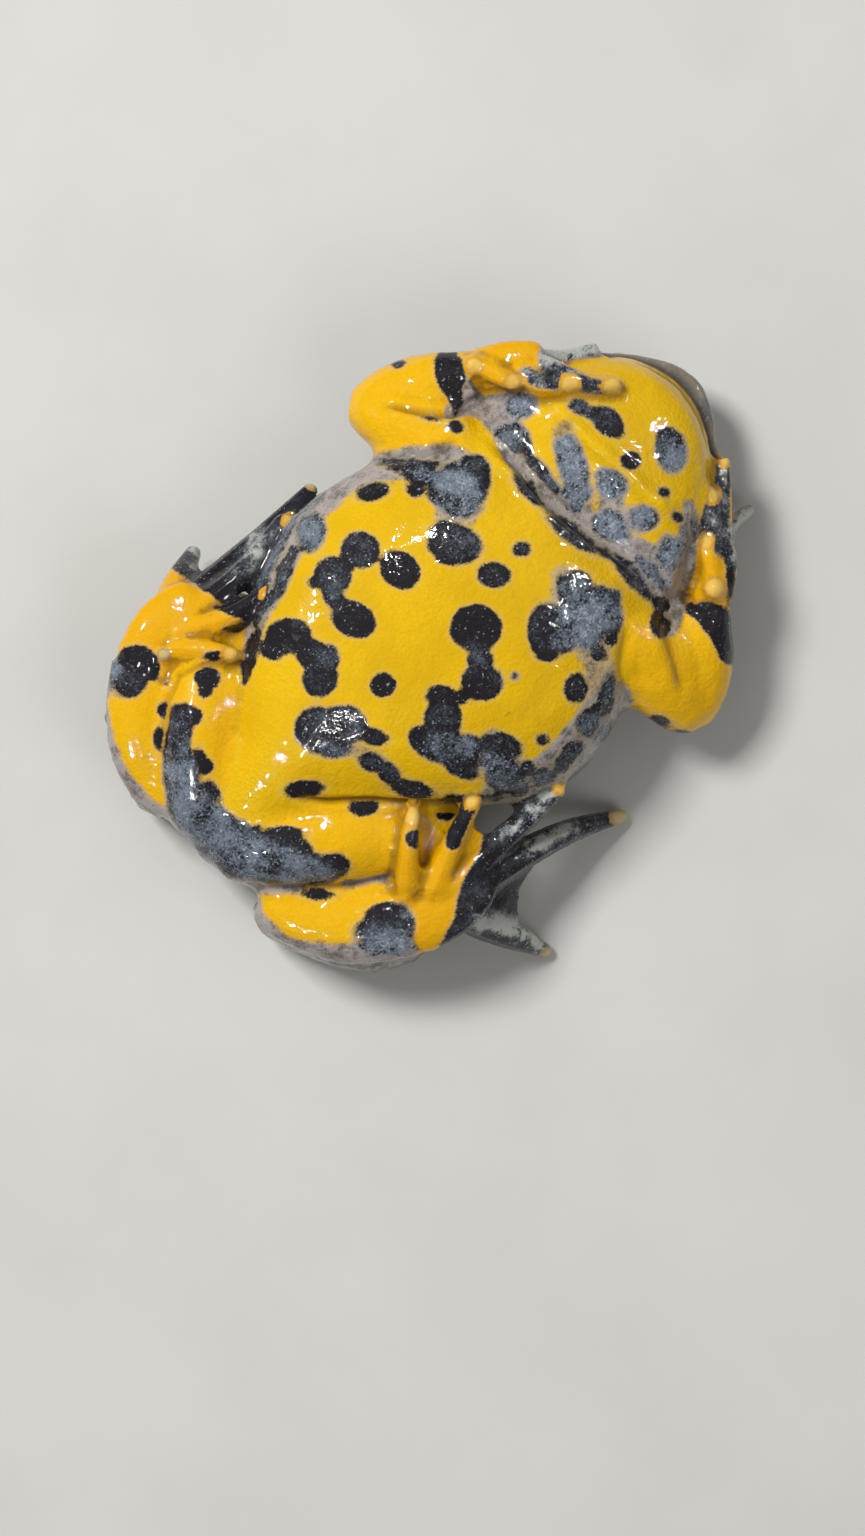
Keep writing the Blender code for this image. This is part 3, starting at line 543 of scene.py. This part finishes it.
def bandDistance(across, down, line):
    # signed distance in pixels to a band with a half width at each of its points
    signed = np.full(len(across), far)
    for (x0, y0, r0), (x1, y1, r1) in zip(line, line[1:]):
        dx, dy = x1 - x0, y1 - y0
        t = np.clip(((across - x0) * dx + (down - y0) * dy) / (dx * dx + dy * dy), 0, 1)
        away = np.hypot(across - x0 - t * dx, down - y0 - t * dy)
        signed = np.minimum(signed, away - (r0 + (r1 - r0) * t))
    return signed


def ellipseDistance(across, down, x, y, halfLength, halfWidth, turn):
    c, s = math.cos(math.radians(turn)), math.sin(math.radians(turn))
    u = (across - x) * c + (down - y) * s
    v = -(across - x) * s + (down - y) * c
    return (np.hypot(u / halfLength, v / halfWidth) - 1) * min(halfLength, halfWidth)


def noiseAt(points, size, shift=0.0):
    # smooth noise from -1 to 1 with bumps of about the given size in mm
    return np.array([noise.noise(p) for p in map(Vector, points / size + shift)])


def foldRelief(across, down, facingUp):
    # height in mm that folds take away and ridges add, and how deep in a fold a point lies, which sets
    # the painted shade there
    fades, ridgeFades = 0.22, 0.2  # share of a line over which it fades at each end
    lipOut, lipWidth = 2.2, 1.4  # of the lips beside a fold, in widths of the fold
    fullDepth = 0.34  # mm of the deepest fold
    relief, depthShare = np.zeros(len(across)), np.zeros(len(across))
    for line, depth, width, lip in folds.values():
        away, place = alongLine(across, down, line)
        strength = facingUp * ramp(0, fades, place) * ramp(1, 1 - fades, place)
        groove = np.exp(-(away / width) ** 2) * strength
        beside = np.exp(-((away - lipOut * width) / (lipWidth * width)) ** 2) * strength
        relief += lip * beside - depth * groove
        depthShare = np.maximum(depthShare, groove * min(1, (depth / fullDepth) ** 2))
    for line, height, halfWidth in ridges.values():
        away, place = alongLine(across, down, line)
        strength = facingUp * ramp(0, ridgeFades, place) * ramp(1, 1 - ridgeFades, place)
        relief += height * np.exp(-(away / halfWidth) ** 2) * strength
    return relief, depthShare


def mouthGap(points):
    # mm above the line of the mouth
    (x0, z0), (x1, z1), (x2, z2) = (mouthLine[place] for place in ("corner", "back", "front"))
    return points[:, 2] - np.interp(points[:, 0], [x0, x1, x2], [z0, z1, z2])


def mouthRelief(points, away):
    # the line of the mouth, round the edge of the jaw
    nearHead = nearestOf(away, "head", "jaw") < 0.7
    outside = ramp(*mouthLine["begins"], points[:, 0]) * nearHead
    groove = np.exp(-(mouthGap(points) / mouthLine["width"]) ** 2) * outside
    return -mouthLine["depth"] * groove, groove


def nostrilPits(points):
    near = [np.sum((points - place) ** 2, axis=1) for place in nostrils["places"]]
    return np.exp(-np.min(near, axis=0) / nostrils["radius"] ** 2)


def wartRelief(points, where):
    # warts of the back and of the limbs' upper sides, and their small horny tips
    draw = np.random.default_rng(warts["seed"])
    tree = KDTree(len(points))
    for i, p in enumerate(points):
        tree.insert(p, i)
    tree.balance()
    candidates = np.nonzero(where > warts["from"])[0]
    draw.shuffle(candidates)
    relief, tips = np.zeros(len(points)), np.zeros(len(points))
    taken = np.zeros(len(points), dtype=bool)
    placed = 0
    for i in candidates:
        if placed >= warts["count"]:
            break
        if taken[i]:
            continue
        placed += 1
        radius = draw.uniform(*warts["radius"])
        height = draw.uniform(*warts["height"]) * radius / warts["radius"][1]
        keepOff = warts["spacing"] * draw.uniform(*warts["spread"])
        for _, k, distance in tree.find_range(points[i], max(radius, keepOff)):
            if distance < keepOff:
                taken[k] = True
            if distance < radius:
                relief[k] = max(relief[k], height * (1 - (distance / radius) ** 2) ** 2)
                tips[k] = max(tips[k], math.exp(-(distance / (warts["tip"] * radius)) ** 2))
    return relief * where, tips * where


def markFields(across, down, away, others):
    # signed distance in mm to the black marks, and the haze that lies over them
    melt, reach = 3.0, 4.0  # pixels over which marks melt together and haze spreads
    black, haze = np.full(len(across), 3.0), np.zeros(len(across))
    for region in regions:
        inside = np.nonzero(away[region] - others[region] < 0.5)[0]
        a, d = across[inside], down[inside]
        ellipses, bands = marks.get(region, {}).values(), stripes.get(region, {}).values()
        shapes = [(ellipseDistance(a, d, *m[:5]), m[5], min(m[2], m[3])) for m in ellipses]
        shapes += [(bandDistance(a, d, line), share, line[0][2]) for line, share in bands]
        field, hazes = np.full(len(inside), 40.0), np.zeros(len(inside))
        weights = np.full(len(inside), 1 / far)
        for signed, share, size in shapes:
            blend = np.clip(0.5 + 0.5 * (field - signed) / melt, 0, 1)
            field = field * (1 - blend) + signed * blend - melt * blend * (1 - blend)
            near = np.exp(-np.clip(signed, -16, 60) / reach) / (size * size)
            weights += near
            hazes += near * share
        bound = away[region][inside] - others[region][inside] - 0.3
        signed = np.maximum(field / photo["pixelsPerMm"], bound)
        closer = signed < black[inside]
        black[inside] = np.where(closer, signed, black[inside])
        haze[inside] = np.where(closer, hazes / weights, haze[inside])
    return black, haze


def meltFlesh():
    mesh = withModifier(swollenFlesh(), "REMESH", mode="VOXEL", voxel_size=skinShape["voxel"])
    mesh = outerShell(mesh)
    smoother = Smoother(mesh)
    points = smoother.run(pointsOf(mesh), skinShape["fineSmoothing"])
    away = distancesTo(points)
    digits = nearestOf(away, "hands", "feet")
    large = nearestOf(away, *(region for region in regions if region not in ("hands", "feet")))
    toEyes = [np.linalg.norm(points - eyeMiddle(node), axis=1) for node in ("eye_left", "eye_right")]
    toEye = np.min(toEyes, axis=0)
    offArms = ramp(-0.3, 0.6, away["arms"] - away["torso"])
    onLowerLegs = ramp(0.6, 0, away["lowerLegs"])
    heavy = ramp(0.15, 0.9, digits - large) * ramp(*skinShape["eyeGuard"], toEye)
    heavy *= 0.3 + 0.35 * offArms + 0.35 * onLowerLegs
    heavy = smoother.run(heavy, 8)
    for _ in range(skinShape["bodySmoothing"]):
        points += 0.5 * heavy[:, None] * (smoother.run(points, 1, 1.0) - points)
    swell = smoother.run(blended(skinShape["swell"], away), 4)
    for _ in range(2):
        points -= normalsOf(mesh, points) * swell[:, None] / 2
        points = smoother.run(points, 1, 0.3)
    print("skin melted:", len(points), "points")
    return mesh, smoother, points, toEye


def eyeMiddle(node):
    corners = np.array([v.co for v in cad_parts[node].data.vertices]) / mm
    return (corners.min(0) + corners.max(0)) / 2


def makeSkin():
    mesh, smoother, points, toEye = meltFlesh()
    normals = smoother.run(normalsOf(mesh, points), 3)
    across, down = photoFromBody(points)
    away = distancesTo(points)
    others = {region: nearestOf(away, *(o for o in regions if o != region)) for region in regions}
    digits = nearestOf(away, "hands", "feet")
    trunk = nearestOf(away, "torso", "jaw", "head")
    limbs = nearestOf(away, "arms", "thighs", "lowerLegs")
    onDigit = ramp(0.3, -0.3, digits - np.minimum(trunk, limbs))
    onLimb = ramp(0.4, -0.4, limbs - np.minimum(trunk, digits))
    loose = ramp(0.0, 0.4, digits - np.minimum(trunk, limbs))
    relief, inFold = foldRelief(across, down, ramp(0.0, 0.35, normals[:, 2]) * loose)
    mouth, inMouth = mouthRelief(points, away)
    pits = nostrilPits(points)
    relief += mouth - nostrils["depth"] * pits
    underside = normals[:, 2] - blended(backEdge, away)
    gap = mouthGap(points)
    lips = [ramp(*mouthLine[place], gap) for place in ("lipOnHead", "lipOnJaw")]
    lip = np.where(away["head"] < away["jaw"], *lips)
    lip *= ramp(0.5, 0.1, nearestOf(away, "head", "jaw"))
    lip *= ramp(*mouthLine["lipBegins"], points[:, 0])
    back = ramp(0.05, -0.3, underside) * (1 - 0.7 * onDigit) * ramp(2.2, 2.6, toEye)
    onHead = ramp(0.4, -0.4, away["head"] - np.minimum(away["torso"], limbs))
    growth = back * (1 - warts["offHead"] * onHead) * (1 - warts["offLip"] * lip)
    rough, tips = wartRelief(points, growth)
    relief += rough
    coarse, fine = warts["grainSizes"]
    grain = warts["grain"] * (noiseAt(points, coarse) + 0.6 * noiseAt(points, fine, 7.0))
    lumps = warts["lump"] * noiseAt(points, warts["lumpSize"], 3.0)
    relief += grain * (1 - 0.6 * onDigit) + lumps * (1 - onDigit)
    points += normals * relief[:, None]
    points[:, 2] = np.maximum(points[:, 2], skinShape["floorRest"])

    black, haze = markFields(across, down, away, others)
    pale = np.zeros(len(points))
    for line, strength in washes.values():
        pale = np.maximum(pale, strength * ramp(7, -7, bandDistance(across, down, line)))
    pale *= 1 - onDigit
    tipsOf = {}
    for tone, places in cushions.items():
        tipsOf[tone] = np.zeros(len(points))
        for region, tipsHere in places.items():
            inside = ramp(0.1, -0.15, away[region] - others[region])
            for x, y, radius in tipsHere:
                spread = ramp(1.15, 0.5, np.hypot(across - x, down - y) / radius)
                tipsOf[tone] = np.maximum(tipsOf[tone], inside * spread)
    # painted shade in the hollows of the skin, stronger beside fingers and toes as painted contact shadow
    hollow = smoother.run(points, 1, 1.0) - points
    cavityShade = ramp(0.002, 0.012, smoother.run(np.sum(hollow * normals, axis=1), 2))
    cavityShade *= 0.35 + 0.65 * ramp(1.2, 0.3, digits)
    # fold marks painted shade in folds, the mouth line and nostril pits; the hollows' value marks painted
    # shade in hollows
    fields = {
        "black": black, "haze": haze, "pale": pale, "underside": underside, "limb": onLimb, "lip": lip,
        "digit": onDigit, "wartTip": tips, "fold": np.max([inFold, inMouth, pits], axis=0),
        "cavityShade": cavityShade, **tipsOf,
    }
    for name, values in fields.items():
        spots = mesh.attributes.new(name, "FLOAT", "POINT")
        spots.data.foreach_set("value", values.astype(np.float32))
    mesh.vertices.foreach_set("co", (points * mm).ravel())
    mesh.update()
    share = skinShape["triangles"] / (2 * len(mesh.polygons))
    mesh = withModifier(mesh, "DECIMATE", ratio=share)
    mesh.shade_smooth()
    return linked("toadSkin", mesh)


noiseScale = 0.45  # Noise Texture scale, per mm, that gives grains of about one millimetre


class Wires:
    # strings the nodes of one shader together
    def __init__(self, tree):
        self.tree = tree

    def plug(self, socket, value):
        if isinstance(value, bpy.types.NodeSocket):
            self.tree.links.new(value, socket)
        else:
            socket.default_value = value

    def node(self, kind, props={}, **inputs):
        # a node, its properties, and its inputs by name, or by number after a _
        node = self.tree.nodes.new(kind)
        for name, value in props.items():
            setattr(node, name, value)
        for name, value in inputs.items():
            self.plug(node.inputs[int(name[1:]) if name[0] == "_" else name], value)
        return node

    def mix(self, share, a, b):
        return self.node("ShaderNodeMix", {"data_type": "RGBA"}, _0=share, _6=a, _7=b).outputs[2]

    def maths(self, operation, a, b=0.0, c=0.0):
        return self.node("ShaderNodeMath", {"operation": operation}, _0=a, _1=b, _2=c).outputs[0]

    def product(self, a, b):
        return self.maths("MULTIPLY", a, b)

    def scaled(self, value, factor, start):
        return self.maths("MULTIPLY_ADD", value, factor, start)

    def most(self, a, b):
        return self.maths("MAXIMUM", a, b)

    def total(self, first, *more):
        # first value plus each value times its factor
        for value, factor in more:
            first = self.scaled(value, factor, first)
        return first

    def step(self, value, low, high, to=1.0):
        props = {"interpolation_type": "SMOOTHSTEP"}
        return self.node("ShaderNodeMapRange", props, _0=value, _1=low, _2=high, _3=0.0, _4=to).outputs[0]

    def attribute(self, name):
        return self.node("ShaderNodeAttribute", {"attribute_name": name}).outputs["Fac"]

    def inMm(self):
        place = self.tree.nodes.new("ShaderNodeTexCoord").outputs["Object"]
        return self.node("ShaderNodeMapping", Vector=place, Scale=(1 / mm, 1 / mm, 1 / mm)).outputs[0]

    def swing(self, where, size, detail=2.0):
        # noise from about -1 to 1, with grains of the given size in mm
        scale = noiseScale / size
        grains = self.node("ShaderNodeTexNoise", Vector=where, Scale=scale, Detail=detail, Roughness=0.55)
        return self.scaled(grains.outputs["Fac"], 4.0, -2.0)

    def cells(self, where, perMm):
        # distance to the middle of the nearest cell
        return self.node("ShaderNodeTexVoronoi", Vector=where, Scale=perMm).outputs["Distance"]

    def flecks(self, where, size, cover, softness):
        inputs = {"Coordinates": where, "Size in mm": size, "Cover": cover, "Softness": softness}
        return self.node("ShaderNodeGroup", {"node_tree": fleckGroup}, **inputs).outputs["Mask"]


def makeFlecks():
    # node group: a mask of small flecks, for the skin's white dust and the iris's gold dust
    group = bpy.data.node_groups.new("flecks", "ShaderNodeTree")
    inputs = {"Coordinates": "Vector", "Size in mm": "Float", "Cover": "Float", "Softness": "Float"}
    for name, kind in inputs.items():
        group.interface.new_socket(name, in_out="INPUT", socket_type="NodeSocket" + kind)
    group.interface.new_socket("Mask", in_out="OUTPUT", socket_type="NodeSocketFloat")
    w = Wires(group)
    start = group.nodes.new("NodeGroupInput").outputs
    scale = w.maths("DIVIDE", noiseScale, start["Size in mm"])
    dust = w.node("ShaderNodeTexNoise", Vector=start["Coordinates"], Scale=scale, Detail=1.0)
    edge = w.scaled(start["Cover"], -0.5, 0.78)
    mask = w.step(dust.outputs["Fac"], edge, w.maths("ADD", edge, start["Softness"]))
    w.plug(group.nodes.new("NodeGroupOutput").inputs["Mask"], mask)
    return group


fleckGroup = makeFlecks()


def newMaterial(name, finish):
    material = bpy.data.materials.new(name)
    material.use_nodes = True
    surface = material.node_tree.nodes["Principled BSDF"].inputs
    for slot, value in finish.items():
        surface[slot].default_value = value
    return material, Wires(material.node_tree), surface


skinGrain = {
    "sizes": (0.075, 0.26, 0.8, 2.6),  # mm: dust, jags, blotches and broad patches
    "pebbles": 4.2, "pores": 0.9,  # per mm
    "dust": 0.09,  # mm of the white flecks on the black marks
    # bump of the skin and of the wet film over it: strength, height in m
    "bumps": {"Normal": (0.7, 0.00005), "Coat Normal": (0.6, 0.00001)},
    "finish": {
        "Specular IOR Level": 0.08, "Coat Weight": 1.0, "Coat Roughness": 0.05, "Coat IOR": 1.36,
    },
}


def makeSkinMaterial():
    material, w, surface = newMaterial("toadSkin", skinGrain["finish"])
    look = {name: linear(colour) for name, colour in skinLook.items()}
    mix, step, product, total = w.mix, w.step, w.product, w.total
    where = w.inMm()
    grain, jag, blotch, broad = (w.swing(where, size) for size in skinGrain["sizes"])
    pebble = w.cells(where, skinGrain["pebbles"])
    haze, digit = w.attribute("haze"), w.attribute("digit")

    # Gold of the underside: deeper in patches, warmer on the limbs, with paler grains
    gold = mix(step(total(broad, (grain, 0.3)), -0.5, 0.7), look["gold"], look["deepGold"])
    for share, tone in (
            (product(w.attribute("limb"), 0.85), "limbGold"), (product(digit, 0.8), "sole"),
            (step(total(grain, (jag, 0.4)), 0.5, 1.3, 0.3), "goldDust"),
            (step(pebble, 0.30, 0.62, 0.35), "deepGold"), (step(pebble, 0.16, 0.04, 0.35), "goldDust")):
        gold = mix(share, gold, look[tone])

    # Pinkish grey washes with a ragged, dusty edge
    wash = w.attribute("pale")
    ragged = total(wash, (jag, 0.1), (grain, 0.1), (blotch, 0.16))
    washed = product(step(ragged, 0.12, 0.8), step(wash, 0.01, 0.12))
    mottle = total(blotch, (jag, 0.6), (grain, 0.5))
    ash = mix(step(mottle, -0.4, 1.0), look["pale"], look["paleDeep"])
    skin = mix(product(washed, 0.94), gold, ash)

    # Black marks with a torn edge, a pale seam round them, and blue-white dust over them
    torn = product(washed, total(blotch, (jag, 0.7)))
    edge = total(w.attribute("black"), (jag, 0.055), (blotch, 0.05), (grain, 0.065), (torn, 0.12))
    seam = product(step(edge, 0.32, 0.02), w.scaled(haze, 0.55, 0.35))
    seam = product(seam, w.scaled(grain, 0.25, 0.8))
    skin = mix(seam, skin, mix(step(haze, 0.2, 0.8), look["fleshEdge"], look["pale"]))
    inner = step(edge, 0.05, -0.5)
    rim = w.scaled(haze, -0.42, 0.66)
    body = w.maths("SUBTRACT", 1.0, product(rim, w.maths("SUBTRACT", 1.0, inner)))
    veil = product(haze, w.most(body, product(digit, 0.95)))
    veil = total(veil, (product(jag, haze), 0.5), (product(blotch, haze), 0.75))
    speck = product(w.scaled(haze, 0.42, 0.14), w.scaled(digit, -0.5, 1.0))
    veil = total(veil, (product(grain, speck), 1.0))
    dark = mix(step(veil, 0.1, 0.5), look["black"], look["hazeDeep"])
    hazeTone = mix(digit, look["haze"], look["toeGrey"])
    dark = mix(step(veil, 0.35, 0.9), dark, hazeTone)
    dark = mix(step(veil, 0.95, 1.8), dark, look["hazeLight"])
    dust = w.flecks(where, skinGrain["dust"], w.scaled(haze, 0.25, 0.16), 0.06)
    dark = mix(product(dust, 0.6), dark, look["hazeLight"])
    softness = w.scaled(haze, 0.14, 0.08)
    marked = step(w.maths("DIVIDE", edge, softness), 1.0, -1.0)
    skin = mix(marked, skin, dark)

    # Back: grey-brown and olive with dark blotches, wart tips and pores, behind a paler margin
    back = mix(step(total(broad, (jag, 0.4)), -0.3, 0.6), look["back"], look["backOlive"])
    for share, tone in (
            (step(total(blotch, (jag, 0.5)), 0.35, 0.8, 0.8), "backDark"),
            (step(total(jag, (grain, 0.6)), 0.3, 1.3, 0.4), "pale"),
            (product(w.attribute("wartTip"), 0.75), "backDark")):
        back = mix(share, back, look[tone])
    margin = mix(step(mottle, -0.3, 0.9), look["margin"], look["paleDeep"])
    margin = mix(step(total(jag, (grain, 0.9)), 0.1, 1.3, 0.7), margin, look["pale"])
    turned = total(w.attribute("underside"), (jag, 0.1), (blotch, 0.09), (grain, 0.1))
    share = product(step(turned, 0.3, 0.08), step(digit, 0.5, 0.1, 0.92))
    skin = mix(product(share, w.scaled(marked, -0.6, 1.0)), skin, margin)
    turned = total(turned, (broad, 0.14), (blotch, 0.2))
    skin = mix(step(turned, 0.08, -0.12), skin, back)
    skin = mix(w.attribute("lip"), skin, margin)
    dots = w.cells(where, skinGrain["pores"])
    rough = w.most(share, washed)
    skin = mix(product(step(dots, 0.2, 0.1, 0.4), rough), skin, look["hazeLight"])
    pores = product(step(dots, 0.075, 0.05), rough)
    skin = mix(product(pores, 0.85), skin, look["black"])

    # Amber finger tips, tan toe tips, and painted shade in the depth of folds, the mouth line, nostril
    # pits and hollows
    for tone in ("amber", "tan"):
        cushion = w.attribute(tone)
        # each tip is painted paler in the middle and darker at its rim, a painted glow and shade of a
        # translucent, rounded cushion, over its own amber or tan
        bead = mix(step(cushion, 0.35, 1.0), look[tone + "Rim"], look[tone])
        skin = mix(step(cushion, 0.02, 0.22, 0.92), skin, bead)
    notGold = w.most(w.most(washed, share), w.most(marked, w.attribute("lip")))
    # painted shade: gold-brown in gold skin, dark grey-brown on pale, lip and back skin, black inside
    # marks
    creaseShade = mix(notGold, look["goldCreaseShade"], look["backDark"])
    creaseShade = mix(marked, creaseShade, look["black"])
    for hollow, depth in (("fold", 0.65), ("cavityShade", 0.6)):
        skin = mix(product(w.attribute(hollow), depth), skin, creaseShade)
    w.plug(surface["Base Color"], skin)

    w.plug(surface["Roughness"], w.scaled(jag, 0.06, 0.42))
    height = total(product(pebble, -0.8), (grain, 0.2), (jag, 0.35))
    for name, (strength, distance) in skinGrain["bumps"].items():
        bump = w.node("ShaderNodeBump", Strength=strength, Distance=distance, Height=height)
        w.plug(surface[name], bump.outputs[0])
    return material


eyeLook = {
    "gazeOut": (0.28, 0.86, -0.42),  # of the right eye, mirrored for the left one
    "ball": 1.01,  # size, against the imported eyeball
    "iris": 1.05, "pupil": 0.36,  # half widths, as angles from the gaze
    "segments": 96,
    "corners": 0.14, "oval": 0.16,  # how far the pupil is from round
    "bulge": 0.3, "cornea": 1.1,  # mm that the cornea stands out, and its reach, as an angle
    "dust": 0.09,  # mm of the flecks of the iris
    "colours": {
        "white": (70, 60, 45), "gold": (196, 140, 52), "bronze": (92, 62, 22),
        "rim": (226, 180, 80), "dark": (12, 10, 9),
    },
    "finish": {
        "Roughness": 0.3, "Specular IOR Level": 0.05,
        "Coat Weight": 1.0, "Coat Roughness": 0.02, "Coat IOR": 1.3,
    },
}


def makeEyeMaterial():
    material, w, surface = newMaterial("wetEye", eyeLook["finish"])
    look = {name: linear(colour) for name, colour in eyeLook["colours"].items()}
    dust = w.flecks(w.inMm(), eyeLook["dust"], 0.62, 0.2)
    iris = w.mix(dust, look["bronze"], look["gold"])
    ball = w.mix(w.step(w.attribute("iris"), 0.06, -0.04), look["white"], iris)
    pupil = w.attribute("pupil")
    rim = w.step(w.maths("ABSOLUTE", w.maths("ADD", pupil, -0.03)), 0.045, 0.01, 0.55)
    ball = w.mix(rim, ball, look["rim"])
    ball = w.mix(w.step(pupil, 0.02, -0.02), ball, look["dark"])
    w.plug(surface["Base Color"], ball)
    return material


def makeEye(name, node, side, material):
    # eyeball with a flecked iris and the triangular pupil that these toads have
    centre = Vector(eyeMiddle(node)) * mm
    radius = (Vector(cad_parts[node].data.vertices[0].co) - centre).length * eyeLook["ball"]
    gaze = eyeLook["gazeOut"]
    out = Vector((gaze[0], side * gaze[1], gaze[2])).normalized()
    crown = Vector((0, 0, -1))  # the toad lies on its back
    up = (crown - out * out.dot(crown)).normalized()
    along = up.cross(out)
    ball, rounds = bmesh.new(), eyeLook["segments"]
    bmesh.ops.create_uvsphere(ball, u_segments=rounds, v_segments=rounds // 2, radius=radius)
    bmesh.ops.translate(ball, verts=ball.verts, vec=centre)
    irisAt = ball.verts.layers.float.new("iris")
    pupilAt = ball.verts.layers.float.new("pupil")
    for v in ball.verts:
        ray = (v.co - centre).normalized()
        angle = math.acos(max(-1, min(1, ray.dot(out))))
        bearing = math.atan2(ray.dot(up), ray.dot(along))
        corners = 1 - eyeLook["corners"] * math.sin(3 * bearing)
        oval = 1 + eyeLook["oval"] * abs(math.cos(bearing))
        v.co += out * eyeLook["bulge"] * mm * max(0, 1 - angle / eyeLook["cornea"]) ** 0.5
        v[irisAt] = angle - eyeLook["iris"]
        v[pupilAt] = angle - eyeLook["pupil"] * corners * oval
    mesh = meshOf(ball, name)
    mesh.materials.append(material)
    mesh.shade_smooth()
    eye = linked(name, mesh)
    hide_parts(node)
    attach(eye, "root")


skin = makeSkin()
skin.data.materials.clear()
skin.data.materials.append(makeSkinMaterial())
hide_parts(*[name for names in regions.values() for name in names])
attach(skin, "root")
print("skin done:", len(skin.data.polygons), "faces")

eyeMaterial = makeEyeMaterial()
makeEye("eyeLeft", "eye_left", -1, eyeMaterial)
makeEye("eyeRight", "eye_right", 1, eyeMaterial)
print("eyes done")

studio = {
    "floorSize": 1.6, "floor": (214, 212, 207), "floorDim": (208, 206, 200),
    "floorPatches": 9.0,  # mm
    "floorFinish": {"Roughness": 0.7}, "world": 0.16,
    # name: place in m, side of the square in m, watts, whether wet skin mirrors it
    "lights": {
        "key": ((-0.05, 0.30, 0.42), 0.14, 2.45, False),
        "fill": ((0.05, -0.45, 0.45), 0.35, 0.8, False),
        "glintLeft": ((-0.30, 0.02, 0.36), 0.014, 0.46, True),
        "glintTop": ((0.10, 0.20, 0.36), 0.012, 0.5, True),
        "glintHigh": ((-0.12, 0.30, 0.30), 0.012, 0.5, True),
        "glintRight": ((0.22, -0.12, 0.36), 0.010, 0.3, True),
        "glintNear": ((-0.20, -0.05, 0.38), 0.007, 0.12, True),
        "glintFront": ((0.36, -0.02, 0.32), 0.012, 0.4, True),
        "sheen": ((-0.16, 0.34, 0.30), 0.10, 0.045, True),
    },
}


def makeFloor():
    material, w, surface = newMaterial("paleFloor", studio["floorFinish"])
    soft = w.swing(w.inMm(), studio["floorPatches"], 4.0)
    tone = w.mix(w.step(soft, -0.8, 0.8), linear(studio["floor"]), linear(studio["floorDim"]))
    w.plug(surface["Base Color"], tone)
    plate = bmesh.new()
    bmesh.ops.create_grid(plate, x_segments=2, y_segments=2, size=studio["floorSize"] / 2)
    mesh = meshOf(plate, "paleFloor")
    mesh.materials.append(material)
    floor = linked("paleFloor", mesh)


def makeLights():
    for name, (place, side, watts, mirrored) in studio["lights"].items():
        lamp = bpy.data.lights.new(name, "AREA")
        lamp.size = side
        lamp.energy = watts
        light = linked(name, lamp)
        light.location = place
        light.visible_glossy, light.visible_diffuse = mirrored, not mirrored
        light.rotation_euler = (-Vector(place)).to_track_quat("-Z", "Y").to_euler()
    world = bpy.data.worlds.new("studio")
    world.use_nodes = True
    sky = world.node_tree.nodes["Background"].inputs
    sky["Color"].default_value = (1, 1, 1, 1)
    sky["Strength"].default_value = studio["world"]
    bpy.context.scene.world = world
    bpy.context.scene.view_settings.view_transform = "Standard"


def makeCamera():
    lens = bpy.data.cameras.new("camera")
    shown = photo["height"] / photo["pixelsPerMm"]
    lens.sensor_width = photo["sensor"]
    lens.lens = photo["sensor"] * photo["distance"] / shown
    lens.clip_start, lens.clip_end = 0.01, 10
    camera = linked("camera", lens)
    x, y = photo["middle"]
    camera.location = Vector((x, y, photo["distance"] + photo["halfHeight"])) * mm
    camera.rotation_euler = (0, 0, -photo["turn"])
    bpy.context.scene.camera = camera


makeFloor()
makeLights()
makeCamera()
print("studio done")
